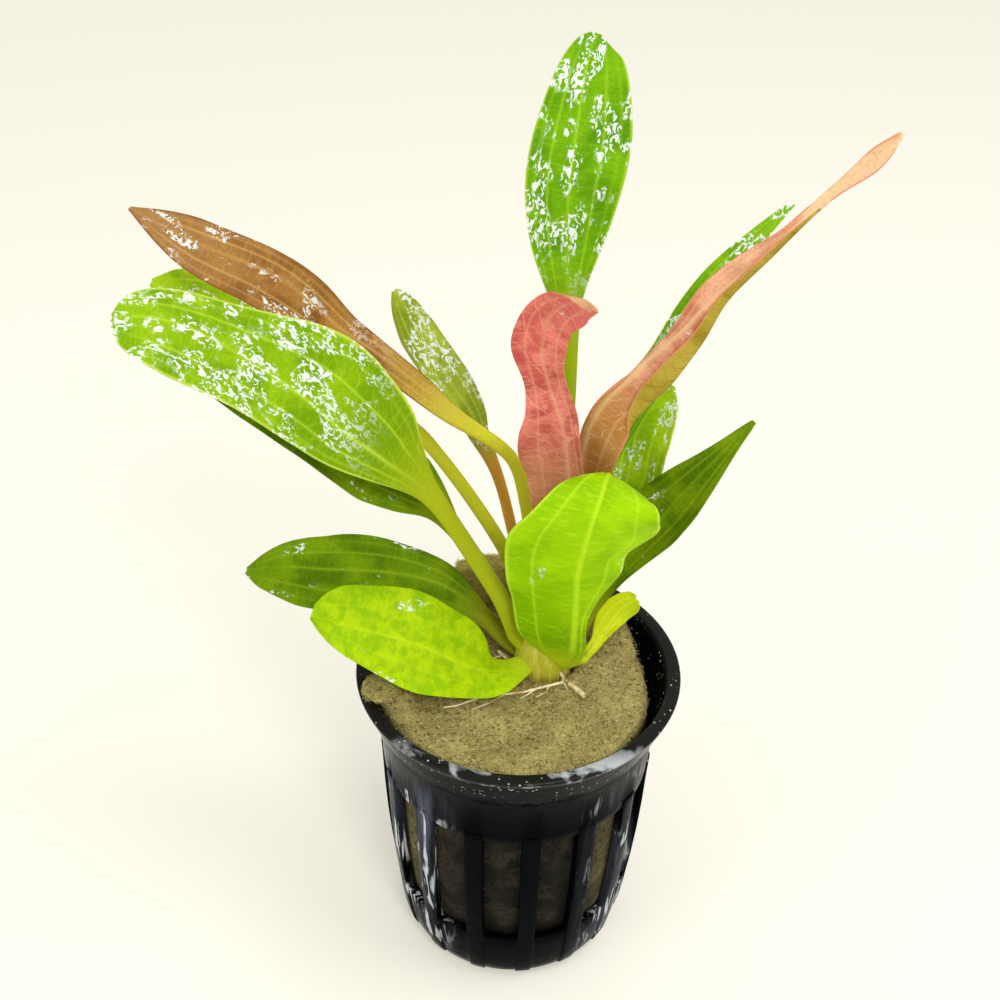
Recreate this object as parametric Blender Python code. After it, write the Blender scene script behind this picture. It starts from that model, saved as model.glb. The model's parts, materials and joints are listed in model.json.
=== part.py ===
"""Potted echinodorus: a net pot of rock wool with a rosette of leaves.

Metres, +Z up. The origin is the centre of the pot's base, on the surface
that the pot stands on. +Y points away from the viewer, +X to the right.
"""
import math

import bmesh
import bpy
from mathutils import Vector

MM = 0.001

# The net pot, in millimetres
WINDOWS = 15
WINDOW_TOP = 39.5
WINDOW_BOTTOM = 12.5
BAR_HALF_ANGLE = 3.4
RIB_EDGE_ANGLE = 0.4
WINDOW_HALF_ANGLE = 8.0
RIB_HEIGHT = 0.3
RIB_FOOT = 1.0
RIB_TOP = 41.0
FIRST_BAR_ANGLE = -82.5
BASE_THICKNESS = 1.5
DRAIN_SLOTS = 6
DRAIN_INNER = 9.0
DRAIN_OUTER = 15.0
DRAIN_WIDTH = 3.2

# How near to and how far from the axis a window's cut reaches
CUT_FROM = 17.0
CUT_TO = 27.0

# Radius and height down the outer wall, from the rim to the base
OUTER_WALL = [
    (27.5, 58.0),
    (27.45, 57.2),
    (24.7, 50.4),
    (24.1, 49.5),
    (23.8, 49.0),
    (23.4, 41.0),
    (22.7, 26.0),
    (21.5, 12.5),
    (20.6, 6.0),
    (19.6, 2.2),
    (18.0, 0.5),
    (17.0, 0.0),
]

# Radius and height up the inner wall, from the floor to the rim
INNER_WALL = [
    (15.6, 1.5),
    (18.2, 3.4),
    (19.2, 6.0),
    (20.2, 12.5),
    (21.1, 22.0),
    (22.2, 41.0),
    (22.7, 49.0),
    (25.2, 57.4),
    (25.2, 58.0),
]

# Clear space between the wool and the wall round it
GAP = 0.3

# The crown that all the leaves and roots grow from
CROWN = (5.0, 3.0)
CROWN_SIDES = 12
CROWN_OUTLINE = [
    (2.2, 49.0),
    (3.4, 51.0),
    (3.9, 54.0),
    (4.1, 57.0),
    (3.9, 60.0),
    (3.3, 63.0),
    (2.2, 65.2),
]

# The rock wool: rings round its side, then over its top to the crown's hole
WOOL_SIDES = 30
WOOL_BASE = 1.8
WOOL_TOP = 56.6
WOOL_EDGE = 55.6
WOOL_REACH = 24.3
WOOL_ROUNDING = 0.7

# The notch in the wool's upper edge: its middle and spread in radians, and its depth
EDGE_NOTCH = (0.12, 0.6, 2.9)

# The notch in the wool's upper edge: its middle and spread in radians, and its depth
EDGE_NOTCH = (0.12, 0.6, 2.9)
WOOL_TOP_RINGS = (0.78, 0.56, 0.34, 0.14, 0.0)
HOLE_RADIUS = 5.2
HOLE_TAPER = 0.6
HOLE_FLOOR = 48.4

# The wool's lumps fade out within this distance of the crown
CALM_RADIUS = 6.0
CALM_WIDTH = 8.0

# Where the wool stands higher: x, y, rise, and how far the rise spreads
HIGH_CORNER = (17.0, 14.0, 3.0, 70.0)

# The torn edge of wool behind the crown: x, y and the height of its top
FLAP_EDGE = [
    (-12.6, 14.4, 57.6),
    (-11.4, 15.0, 67.4),
    (-8.4, 15.6, 68.6),
    (-4.6, 16.2, 68.8),
    (-0.8, 16.6, 67.8),
    (2.4, 16.6, 66.0),
    (5.0, 16.2, 63.0),
    (6.6, 15.8, 58.4),
]
FLAP_FOOT = 54.0
FLAP_FRONT = 1.5
FLAP_BACK = 1.7

# The lumps of wool at the left rim, as centre and reach: one inside it and one over it
RIM_LUMPS = [
    ((-20.0, -7.8, 57.2), (3.3, 3.4, 2.4)),
    ((-22.4, -9.0, 60.2), (3.6, 3.5, 1.8)),
]

LEAF_RINGS = 19
PETIOLE_DEPTH = 0.8
PETIOLE_HALF_WIDTH = 1.3
BLADE_HALF_WIDTH = 2.9
BLADE_THICKNESS = 0.9
MARGIN_THICKNESS = 0.36
KEEL_SHARE = 0.45

# A leaf is a midrib from the crown to the tip, the directions that its
# upper face looks in, evenly spaced along the midrib, and its margins: the
# half widths to the left and right at shares of its length. Lift raises the
# left and right margin at shares of the length, as a share of the half width.
LEAVES = {
    "leaf_tall_back": {
        "midrib": [(6.0, 8.5, 58.5), (6.3, 9.6, 74), (6.6, 10.5, 95), (6.4, 12, 114), (5.7, 13, 123),
                   (5.2, 15, 133), (5.3, 16, 139), (6, 18, 145), (6.7, 20, 151), (7.6, 23, 155),
                   (8.6, 25, 156.7)],
        "facing": [(0, -1, 0.1), (0, -1, 0.1), (-0.1, -1, 0.35), (0, -1, 0.5)],
        "margins": [(0, 1.3, 1.3), (0.3, 1.0, 1.0), (0.55, 1.2, 1.2), (0.6, 2.4, 1.7), (0.65, 4.2, 3.3),
                    (0.7, 5.6, 5.5), (0.75, 6.3, 7.1), (0.8, 6.5, 8.0), (0.85, 6.2, 8.2),
                    (0.9, 5.2, 7.4), (0.95, 3.8, 5.8), (0.98, 2.4, 4.2), (1, 0.5, 0.9)],
        "lift": [(0, 0.1, 0.12)],
        "colour": (0.3, 0.52, 0.05),
    },
    "leaf_red_centre": {
        "midrib": [(4.0, 2.6, 65.7), (4.9, 3, 78), (6.2, 3, 88), (6.8, 2, 96), (5.4, 2, 105),
                   (3.7, 2, 110.2), (2.3, 2, 115), (1.9, 1.5, 119), (2.4, 1, 123), (4.1, -1, 126.5),
                   (6.6, -4, 128.9), (8.6, -7, 129.1)],
        "facing": [(-0.2, -1, 0), (-0.2, -1, 0), (-0.3, -1, 0.1), (-0.3, -1, 0.2), (-0.2, -0.7, -0.6)],
        "margins": [(0, 1.2, 1.2), (0.15, 1.3, 1.3), (0.28, 3.6, 3.2), (0.36, 5.8, 3.6),
                    (0.43, 7.2, 3.0), (0.5, 7.6, 2.6), (0.57, 6.2, 2.8), (0.64, 3.9, 3.1),
                    (0.7, 3.6, 3.4), (0.76, 4.6, 3.9), (0.82, 3.9, 4.1), (0.88, 3.0, 3.6),
                    (0.94, 2.4, 3.0), (0.98, 1.6, 2.0), (1, 0.6, 0.6)],
        "lift": [(0, 0.2, 0.5)],
        "colour": (0.62, 0.25, 0.22),
    },
    "leaf_red_twisted": {
        "midrib": [(6.7, 3.4, 65.7), (8.0, 4.6, 81.1), (8.7, 4.2, 89.4), (8.9, 3.6, 96.3),
                   (9.5, 3.0, 103.0), (11.8, 2.2, 109.3), (15.9, 1.0, 115.1), (18.6, 0.2, 119.1),
                   (22.0, -0.6, 123.5), (24.9, -1.2, 128.1), (28.1, -2, 132.2), (32.8, -3, 138.2),
                   (36.5, -4, 143.2), (39.9, -5, 147.2), (42.9, -6, 151.3), (45.5, -7, 154.9)],
        "facing": [(-0.3, -1, 0), (-0.3, -1, 0), (-0.3, -1, 0), (-0.4, -1, 0.1), (-0.5, -1, 0.2),
                   (-0.5, -1, 0.2), (-0.4, -1, 0.3), (-0.3, -1, 0.4), (-0.3, -1, 0.4), (-0.3, -1, 0.3),
                   (-0.2, -1, 0.3)],
        "margins": [(0, 1.1, 1.1), (0.14, 1.2, 1.4), (0.24, 1.1, 2.6), (0.31, 1.1, 4.9),
                    (0.36, 1.3, 6.2), (0.4, 1.3, 6.5), (0.45, 0.6, 5.2), (0.5, 0.5, 4.9),
                    (0.55, 0.6, 5.1), (0.6, 1.1, 3.7), (0.65, 2.1, 2.6), (0.7, 2.4, 1.5),
                    (0.75, 1.9, 1.4), (0.8, 0.6, 1.1), (0.85, 0.5, 0.6), (0.9, 0.8, 0.6),
                    (0.95, 1.1, 1.6), (0.975, 1.0, 1.3), (1, 0.3, 0.3)],
        "lift": [(0, 0.15, 0.2), (0.3, 0.15, 0.3), (0.42, 0.1, 0.1), (0.6, 0.2, 0.1), (0.72, 0.3, 0.1),
                 (0.88, 0.1, 0.1), (1, 0.2, 0.2)],
        "colour": (0.5, 0.26, 0.15),
    },
    "leaf_green_behind_red": {
        "midrib": [(8.2, 7.0, 61.4), (9.9, 10, 75), (12.6, 12, 90), (15.6, 13.5, 99), (20.6, 15, 108.7),
                   (25.5, 17, 117.3), (31, 19, 124.3), (36.5, 21, 130), (39.8, 23, 132.3)],
        "facing": [(-0.3, -1, 0.2), (-0.3, -1, 0.3), (-0.4, -0.8, 0.5)],
        "margins": [(0, 1.2, 1.2), (0.28, 1.0, 1.0), (0.35, 3.2, 1.8), (0.42, 4.4, 2.6),
                    (0.5, 4.2, 3.0), (0.56, 2.9, 3.0), (0.62, 2.1, 3.0), (0.72, 2.3, 3.0),
                    (0.8, 2.5, 2.8), (0.87, 1.9, 2.0), (0.93, 1.2, 1.2), (0.97, 0.7, 0.7),
                    (1, 0.3, 0.3)],
        "lift": [(0, 0.15, 0.15)],
        "colour": (0.24, 0.48, 0.04),
    },
    "leaf_short_behind": {
        "midrib": [(9.5, 6.7, 57.8), (12.6, 12, 71.4), (15.6, 14.2, 80.6), (17.6, 15, 87),
                   (18.2, 16, 93), (20.1, 18, 97.6), (23.7, 20, 101.8)],
        "facing": [(-0.3, -1, 0.3), (-0.3, -1, 0.4), (-0.3, -0.8, 0.6)],
        "margins": [(0, 1.2, 1.2), (0.28, 1.1, 1.1), (0.42, 3.0, 3.0), (0.56, 3.8, 4.6),
                    (0.68, 3.4, 5.4), (0.8, 2.6, 5.8), (0.9, 2.0, 5.2), (0.96, 1.4, 3.6),
                    (1, 0.5, 0.8)],
        "lift": [(0, 0.4, 0.15)],
        "colour": (0.28, 0.5, 0.05),
    },
    "leaf_dark_right": {
        "midrib": [(10.0, 4.8, 58.8), (12.0, 6.1, 65), (15.0, 6.7, 71), (18.6, 7.2, 77), (23, 7.7, 84),
                   (28.6, 8.2, 92.4), (36, 10, 101.2)],
        "facing": [(-0.5, -0.8, 0.4), (-0.5, -0.7, 0.5), (-0.5, -0.6, 0.6)],
        "margins": [(0, 1.1, 1.1), (0.12, 1.3, 1.2), (0.22, 2.2, 1.6), (0.32, 4.2, 2.2),
                    (0.44, 5.9, 3.4), (0.54, 6.2, 4.6), (0.65, 5.0, 4.8), (0.78, 3.1, 3.2),
                    (0.9, 1.6, 1.8), (1, 0.3, 0.3)],
        "lift": [(0, 0.2, 0.25)],
        "colour": (0.12, 0.27, 0.03),
    },
    "leaf_front": {
        "midrib": [(7.8, -1.6, 59.6), (8.5, -2.9, 63), (8.7, -4.4, 67), (8.6, -6, 75), (8.4, -8, 84),
                   (9, -9.3, 90), (9.9, -9.4, 95), (11, -8, 98.4), (11.9, -5, 99.6),
                   (12.6, -1.6, 98.4)],
        "facing": [(0.1, 1, 0.1), (0.1, 1, 0.2), (0, 1, 0.2), (-0.1, 1, 0.3), (-0.1, 0.4, -1)],
        "margins": [(0, 1.6, 1.4), (0.05, 2.2, 6.0), (0.1, 2.2, 8.4), (0.18, 2.0, 9.5),
                    (0.24, 1.8, 10.0), (0.3, 2.0, 10.3), (0.36, 3.2, 10.6), (0.44, 5.8, 10.9),
                    (0.5, 7.2, 11.1), (0.56, 7.2, 11.3), (0.61, 6.8, 11.4), (0.625, 8.4, 11.4),
                    (0.64, 12.0, 11.4), (0.7, 12.7, 10.9), (0.76, 11.7, 9.4), (0.82, 11.0, 7.4),
                    (0.88, 9.6, 5.2), (0.93, 7.8, 3.4), (0.97, 5.6, 2.2), (1, 1.6, 1.0)],
        "lift": [(0, 0.3, 0.2), (0.7, 0.3, 0.2), (0.8, 0.14, 0.2), (0.88, 0.0, 0.2), (1, 0.0, 0.2)],
        "colour": (0.27, 0.55, 0.02),
    },
    "leaf_low_left": {
        "midrib": [(1.8, -0.3, 59.0), (-1.6, -3.2, 59.2), (-5, -5, 60.4), (-10.5, -5.5, 63.2),
                   (-16.6, -5.5, 66.5), (-22.6, -5.5, 68.6), (-28.5, -5.5, 70.2), (-33.7, -5.5, 72.2)],
        "facing": [(0, -0.2, 1), (0.1, -0.5, 1), (0.2, -0.6, 1), (0.3, -0.6, 1)],
        "margins": [(0, 1.8, 1.8), (0.1, 2.6, 2.4), (0.17, 4.0, 3.6), (0.26, 5.0, 6.0),
                    (0.36, 6.4, 7.8), (0.48, 7.8, 8.4), (0.6, 7.6, 8.8), (0.72, 6.5, 8.3),
                    (0.84, 4.6, 7.4), (0.92, 3.1, 6.2), (0.97, 1.8, 4.4), (1, 0.6, 2.0)],
        "lift": [(0, 0.05, 0.08)],
        "colour": (0.36, 0.6, 0.03),
    },
    "leaf_dark_left": {
        "midrib": [(0.5, 3.6, 57.6), (-2.4, 4.2, 60), (-5.6, 5, 63.6), (-9.4, 6, 67), (-14.8, 7, 69.8),
                   (-23.3, 8, 70.8), (-33.2, 9, 70.3), (-39.7, 10, 69.8), (-47, 11, 68.2)],
        "facing": [(0.3, -0.3, 1), (0.3, -0.5, 1), (0.1, -0.5, 1), (-0.1, -0.5, 1)],
        "margins": [(0, 1.5, 1.5), (0.16, 1.8, 1.6), (0.24, 3.4, 2.2), (0.34, 5.6, 3.8),
                    (0.46, 7.6, 5.4), (0.58, 8.4, 6.2), (0.7, 8.2, 6.5), (0.8, 7.2, 5.8),
                    (0.88, 5.6, 4.2), (0.95, 3.6, 2.4), (1, 0.8, 0.6)],
        "lift": [(0, 0.1, 0.12)],
        "colour": (0.11, 0.3, 0.03),
    },
    "leaf_broad_left": {
        "midrib": [(-0.2, 1.6, 61.4), (-1.6, 0.9, 67), (-3.8, 0, 73.5), (-8, -0.8, 82),
                   (-14.3, -2.6, 94), (-21.2, -4, 101.5), (-26.8, -5.5, 107.3), (-31.6, -7, 113.5),
                   (-38.3, -9, 120.5), (-45, -11, 126.4), (-50.5, -12, 129), (-56.1, -12, 129)],
        "facing": [(0.5, -0.8, 0.4), (0.4, -0.8, 0.5), (0.4, -0.7, 0.6), (0.2, -0.6, 0.8)],
        "margins": [(0, 1.6, 1.5), (0.2, 1.5, 1.4), (0.36, 1.3, 1.4), (0.41, 1.6, 2.4),
                    (0.45, 2.4, 5.0), (0.5, 3.8, 8.4), (0.55, 4.9, 10.6), (0.6, 5.8, 11.4),
                    (0.66, 6.5, 11.2), (0.72, 6.9, 9.8), (0.79, 7.2, 7.4), (0.86, 7.6, 5.4),
                    (0.91, 7.6, 4.4), (0.95, 6.8, 3.8), (0.98, 5.0, 3.0), (0.993, 3.2, 2.0),
                    (1, 0.8, 0.5)],
        "lift": [(0, 0.05, 0.14)],
        "colour": (0.3, 0.56, 0.04),
    },
    "leaf_upper_left": {
        "midrib": [(1.9, 7.0, 62.4), (-0.6, 8.4, 70), (-3.8, 9, 77.4), (-10.0, 12, 86.1),
                   (-16.1, 15, 92.9), (-19.6, 17.5, 94.6), (-28.4, 22, 101.5), (-40.0, 25.5, 107.4),
                   (-51.2, 27.5, 111.4), (-61.7, 29, 113.4)],
        "facing": [(0.5, -0.8, 0.4), (0.5, -0.8, 0.5), (0.4, -0.7, 0.6), (0.3, -0.6, 0.8)],
        "margins": [(0, 1.2, 1.2), (0.44, 1.1, 1.1), (0.53, 2.6, 2.6), (0.62, 4.6, 4.2),
                    (0.72, 5.6, 5.0), (0.84, 5.4, 5.2), (0.92, 4.4, 4.6), (0.97, 2.8, 3.0),
                    (1, 0.8, 0.8)],
        "lift": [(0, 0.1, 0.1)],
        "colour": (0.28, 0.52, 0.05),
    },
    "leaf_under_left": {
        "midrib": [(0.0, 5.2, 60.2), (-2.2, 4.8, 66), (-5.4, 3.9, 74), (-10.4, 2.8, 83),
                   (-15, 1.8, 90.5), (-21.8, 0.6, 97), (-30.5, -0.6, 104.5), (-38.9, -1.8, 110),
                   (-48.4, -2.4, 113.8)],
        "facing": [(0.5, -0.8, 0.4), (0.4, -0.8, 0.5), (0.4, -0.7, 0.6), (0.3, -0.6, 0.8)],
        "margins": [(0, 1.2, 1.2), (0.34, 1.1, 1.1), (0.42, 2.0, 2.6), (0.5, 4.6, 5.2), (0.6, 6.4, 6.4),
                    (0.7, 6.2, 6.4), (0.8, 5.2, 5.4), (0.9, 3.6, 3.8), (0.96, 2.0, 2.0), (1, 0.5, 0.5)],
        "lift": [(0, 0.1, 0.1)],
        "colour": (0.13, 0.34, 0.03),
    },
    "leaf_brown": {
        "midrib": [(3.4, 8.9, 60.2), (2.2, 11, 73), (0.2, 12.4, 84.5), (-1.4, 13, 90), (-3.8, 13.4, 93),
                   (-8, 14, 96), (-12, 15, 98.6), (-16.3, 16, 102), (-20.8, 16.4, 105.7),
                   (-25.4, 17.2, 108.9), (-29.8, 17.8, 111.9), (-35.6, 18.8, 117.2),
                   (-41.7, 19.8, 120.8), (-51.5, 21.2, 124.2), (-61.7, 22.6, 129.2)],
        "facing": [(0.2, -1, 0.1), (0.4, -0.9, 0.3), (0.6, -0.6, 0.6), (0.5, -0.6, 0.7),
                   (0.3, -0.6, 0.8), (0.2, -0.6, 0.8)],
        "margins": [(0, 1.2, 1.2), (0.36, 1.1, 1.1), (0.42, 2.0, 1.2), (0.5, 3.2, 1.6),
                    (0.57, 3.2, 2.3), (0.64, 4.2, 3.0), (0.7, 6.4, 3.4), (0.75, 7.2, 3.6),
                    (0.8, 6.8, 3.8), (0.85, 5.9, 3.9), (0.9, 4.8, 3.6), (0.94, 3.4, 2.6),
                    (0.98, 1.5, 1.2), (1, 0.3, 0.3)],
        "lift": [(0, 0.15, 0.3)],
        "colour": (0.36, 0.19, 0.06),
    },
    "leaf_narrow": {
        "midrib": [(1.2, 7.8, 57.3), (0.4, 12, 67), (-2.0, 15, 77), (-3.8, 17, 83.4), (-5.6, 18.4, 88),
                   (-7.5, 19.6, 91.6), (-9, 20.6, 95.2), (-11.8, 22, 99), (-14.6, 23.4, 102.8),
                   (-17.6, 25, 107.4), (-20.6, 26.6, 112.6), (-21.8, 27.4, 113.8)],
        "facing": [(0.3, -1, 0.1), (0.4, -0.9, 0.3), (0.4, -0.9, 0.4), (0.3, -0.9, 0.5)],
        "margins": [(0, 1.0, 1.0), (0.46, 0.9, 0.9), (0.54, 1.6, 1.2), (0.62, 2.5, 2.3),
                    (0.72, 3.1, 3.3), (0.8, 3.5, 3.4), (0.88, 3.6, 2.9), (0.95, 2.7, 2.0),
                    (0.98, 1.8, 1.3), (1, 0.4, 0.4)],
        "lift": [(0, 0.2, 0.25)],
        "colour": (0.22, 0.3, 0.05),
    },
    "leaf_yellow": {
        "midrib": [(10.6, 0.0, 58.7), (12.6, 1.8, 60.9), (14.8, 4.5, 62.2), (17.4, 8.1, 63.4),
                   (20.4, 11.0, 63.7)],
        "facing": [(0, -0.5, 1), (0, -0.6, 1), (0.1, -0.6, 1)],
        "margins": [(0, 0.8, 0.8), (0.2, 0.8, 0.9), (0.3, 1.2, 1.0), (0.45, 2.5, 1.3), (0.65, 3.2, 1.8),
                    (0.85, 2.6, 2.1), (0.95, 1.7, 1.6), (1, 0.6, 0.6)],
        "lift": [(0, 0.3, 0.1)],
        "colour": (0.5, 0.58, 0.04),
    },
}

# Roots: points along each root and its thickness
ROOT_SIDES = 6
ROOT_TAPER = 0.35
ROOTS = {
    "root_main": {
        "route": [(7.0, -1.6, 57.7), (7.6, -2.6, 57.4), (7.4, -3.6, 57.3), (4.6, -4.8, 57.4),
                  (0.8, -6.2, 57.3), (-2.6, -7.0, 57.4), (-6.3, -7.7, 57.3), (-10.1, -9.8, 57.4),
                  (-12.3, -10.2, 57.3)],
        "thickness": 0.55,
    },
    "root_white": {
        "route": [(8.6, -4.0, 57.4), (9.8, -5.4, 57.5), (11.0, -6.9, 57.4)],
        "thickness": 1.0,
    },
    "root_left": {
        "route": [(0.4, 1.8, 57.4), (-1.2, 0.6, 57.5), (-1.9, 1.6, 57.4), (-3.4, 3.6, 57.5)],
        "thickness": 0.8,
    },
}

BLACK_PLASTIC = ((0.012, 0.012, 0.014), 0.22)
WOOL_COLOUR = ((0.30, 0.24, 0.08), 0.95)
CROWN_COLOUR = ((0.50, 0.50, 0.12), 0.5)
ROOT_COLOUR = ((0.75, 0.65, 0.42), 0.6)
LEAF_ROUGHNESS = 0.3

# Edges sharper than this many degrees stay crisp in the shading
POT_EDGE = 25.0
WOOL_CREASE = 50.0
SOFT_EDGE = 60.0

FINE_STEPS = 400


def clear_scene():
    for thing in list(bpy.data.objects):
        bpy.data.objects.remove(thing, do_unlink=True)


def add_material(name, colour, roughness):
    material = bpy.data.materials.new(name)
    material.use_nodes = True
    shader = material.node_tree.nodes["Principled BSDF"]
    shader.inputs["Base Color"].default_value = (*colour, 1.0)
    shader.inputs["Roughness"].default_value = roughness
    shader.inputs["Metallic"].default_value = 0.0
    material.diffuse_color = (*colour, 1.0)
    return material


def add_object(name, mesh_builder, material):
    """Turn a bmesh into a named object with outward faces."""
    bmesh.ops.recalc_face_normals(mesh_builder, faces=mesh_builder.faces[:])
    mesh = bpy.data.meshes.new(name)
    mesh_builder.to_mesh(mesh)
    mesh_builder.free()
    mesh.materials.append(material)
    thing = bpy.data.objects.new(name, mesh)
    bpy.context.collection.objects.link(thing)
    return thing


def shade_round(thing, sharp_degrees):
    thing.data.shade_smooth()
    thing.data.set_sharp_from_angle(angle=math.radians(sharp_degrees))


def add_loops(mesh_builder, rings):
    """The points of each ring, given in millimetres, as vertices."""
    return [[mesh_builder.verts.new(Vector(point) * MM) for point in ring] for ring in rings]


def add_wall(mesh_builder, lower, upper):
    """A band of faces between two loops of equally many vertices."""
    count = len(lower)
    for i in range(count):
        j = (i + 1) % count
        mesh_builder.faces.new((lower[i], lower[j], upper[j], upper[i]))


def skin_rings(mesh_builder, rings):
    """Join the rings into a closed skin with a face over each end."""
    loops = add_loops(mesh_builder, rings)
    for lower, upper in zip(loops, loops[1:]):
        add_wall(mesh_builder, lower, upper)
    mesh_builder.faces.new(list(reversed(loops[0])))
    mesh_builder.faces.new(loops[-1])


def smooth_point(points, share):
    """A point at a share from 0 to 1 of a smooth curve through the points."""
    last = len(points) - 1
    place = min(max(share, 0.0), 1.0) * last
    i = min(int(place), last - 1)
    t = place - i
    before = points[max(i - 1, 0)]
    here = points[i]
    there = points[i + 1]
    after = points[min(i + 2, last)]
    tangent_here = (there - before) * 0.5
    tangent_there = (after - here) * 0.5
    return (
        here * (2 * t**3 - 3 * t**2 + 1)
        + tangent_here * (t**3 - 2 * t**2 + t)
        + there * (3 * t**2 - 2 * t**3)
        + tangent_there * (t**3 - t**2)
    )


def even_points(route, count):
    """Points evenly spaced by length along a smooth curve through the route."""
    points = [Vector(point) for point in route]
    fine = [smooth_point(points, i / FINE_STEPS) for i in range(FINE_STEPS + 1)]
    lengths = [0.0]
    for a, b in zip(fine, fine[1:]):
        lengths.append(lengths[-1] + (b - a).length)
    spaced = []
    i = 0
    for k in range(count):
        wanted = lengths[-1] * k / (count - 1)
        while i < FINE_STEPS - 1 and lengths[i + 1] < wanted:
            i += 1
        t = (wanted - lengths[i]) / (lengths[i + 1] - lengths[i])
        spaced.append(fine[i].lerp(fine[i + 1], min(t, 1.0)))
    return spaced


def pair_at(keys, share):
    """Read a left and a right value at a share of the length."""
    for (a, left, right), (b, next_left, next_right) in zip(keys, keys[1:]):
        if share <= b:
            t = (share - a) / (b - a)
            return left + (next_left - left) * t, right + (next_right - right) * t
    return keys[-1][1:]


def tangents_of(points):
    last = len(points) - 1
    return [(points[min(i + 1, last)] - points[max(i - 1, 0)]).normalized() for i in range(last + 1)]


def leaf_section(centre, side, up, widths, lifts):
    """One closed cross-section of a leaf: thick in the middle, thin at the margins."""
    spread = (max(widths) - PETIOLE_HALF_WIDTH) / (BLADE_HALF_WIDTH - PETIOLE_HALF_WIDTH)
    blade = min(max(spread, 0.0), 1.0)
    depth = PETIOLE_DEPTH + (BLADE_THICKNESS / 2 - PETIOLE_DEPTH) * blade
    edge = MARGIN_THICKNESS / 2
    upper = [(-1, edge), (-KEEL_SHARE, depth), (KEEL_SHARE, depth), (1, edge)]
    lower = [(u, -v) for u, v in reversed(upper)]
    section = []
    for u, v in upper + lower:
        half_width = widths[u > 0]
        raised = lifts[u > 0] * half_width * blade
        section.append(centre + side * (u * half_width) + up * (v + raised * u * u))
    return section


def build_leaf(name, leaf):
    spine = even_points(leaf["midrib"], LEAF_RINGS)
    tangents = tangents_of(spine)
    looks = [Vector(direction).normalized() for direction in leaf["facing"]]
    rings = []
    for i, (centre, tangent) in enumerate(zip(spine, tangents)):
        share = i / (LEAF_RINGS - 1)
        look = smooth_point(looks, share)
        up = (look - tangent * look.dot(tangent)).normalized()
        side = tangent.cross(up)
        widths = pair_at(leaf["margins"], share)
        lifts = pair_at(leaf["lift"], share)
        rings.append(leaf_section(centre, side, up, widths, lifts))
    skin = bmesh.new()
    skin_rings(skin, rings)
    thing = add_object(name, skin, add_material(name, leaf["colour"], LEAF_ROUGHNESS))
    shade_round(thing, SOFT_EDGE)


def build_root(name, root, material):
    """A six-sided tube that tapers towards the root's tip."""
    spine = even_points(root["route"], 2 * len(root["route"]))
    radius = root["thickness"] / 2
    turns = [math.tau * k / ROOT_SIDES for k in range(ROOT_SIDES)]
    rings = []
    for i, (centre, tangent) in enumerate(zip(spine, tangents_of(spine))):
        side = tangent.cross(Vector((0, 0, 1))).normalized()
        up = side.cross(tangent)
        reach = radius * (1.0 - ROOT_TAPER * i / (len(spine) - 1))
        rings.append([centre + (side * math.cos(a) + up * math.sin(a)) * reach for a in turns])
    skin = bmesh.new()
    skin_rings(skin, rings)
    thing = add_object(name, skin, material)
    shade_round(thing, SOFT_EDGE)


def round_ring(radius, height, turns, centre=(0.0, 0.0)):
    """A level ring of points round a centre, one for each turn."""
    x, y = centre
    return [(x + radius * math.cos(a), y + radius * math.sin(a), height) for a in turns]


def build_crown():
    turns = [math.tau * k / CROWN_SIDES for k in range(CROWN_SIDES)]
    skin = bmesh.new()
    skin_rings(skin, [round_ring(radius, height, turns, CROWN) for radius, height in CROWN_OUTLINE])
    thing = add_object("crown", skin, add_material("crown", *CROWN_COLOUR))
    shade_round(thing, SOFT_EDGE)


def pot_angles():
    """Angles round the wall: five steps to each window and its bar, as (angle, on a bar)."""
    pitch = 360.0 / WINDOWS
    foot = BAR_HALF_ANGLE + RIB_EDGE_ANGLE
    steps = [
        (-foot, False),
        (-BAR_HALF_ANGLE, True),
        (BAR_HALF_ANGLE, True),
        (foot, False),
        (pitch / 2, False),
    ]
    angles = []
    for i in range(WINDOWS):
        bar = FIRST_BAR_ANGLE + i * pitch
        for offset, raised in steps:
            angles.append((math.radians(bar + offset), raised))
    return angles


def ribbed_ring(radius, height):
    """A ring of the outer wall, which stands proud on the bars."""
    ring = []
    for angle, raised in pot_angles():
        reach = radius
        if raised and RIB_FOOT < height < RIB_TOP:
            reach += RIB_HEIGHT
        ring.append((reach * math.cos(angle), reach * math.sin(angle), height))
    return ring


def build_pot():
    """A turned wall with raised bars, then cut windows and drain slots."""
    turns = [angle for angle, raised in pot_angles()]
    skin = bmesh.new()
    outer = add_loops(skin, [ribbed_ring(radius, height) for radius, height in OUTER_WALL])
    inner = add_loops(skin, [round_ring(radius, height, turns) for radius, height in INNER_WALL])
    for loops in (outer, inner):
        for lower, upper in zip(loops, loops[1:]):
            add_wall(skin, lower, upper)
    add_wall(skin, inner[-1], outer[0])
    skin.faces.new(outer[-1])
    skin.faces.new(inner[0])
    pot = add_object("net_pot", skin, add_material("net_pot", *BLACK_PLASTIC))
    cut(pot, window_cutter(), "DIFFERENCE")
    cut(pot, drain_cutter(), "DIFFERENCE")
    shade_round(pot, POT_EDGE)


def window_cutter():
    """One tapered block through the wall for each window."""
    blocks = bmesh.new()
    pitch = 360.0 / WINDOWS
    half = math.radians(WINDOW_HALF_ANGLE)
    for i in range(WINDOWS):
        middle = math.radians(FIRST_BAR_ANGLE + (i + 0.5) * pitch)
        sides = (middle - half, middle + half)
        near = [(CUT_FROM * math.cos(a), CUT_FROM * math.sin(a)) for a in sides]
        far = [(CUT_TO * math.cos(a), CUT_TO * math.sin(a)) for a in sides]
        corners = [near[0], far[0], far[1], near[1]]
        skin_rings(blocks, [[(x, y, height) for x, y in corners] for height in (WINDOW_BOTTOM, WINDOW_TOP)])
    return add_cutter("window_cutter", blocks)


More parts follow.
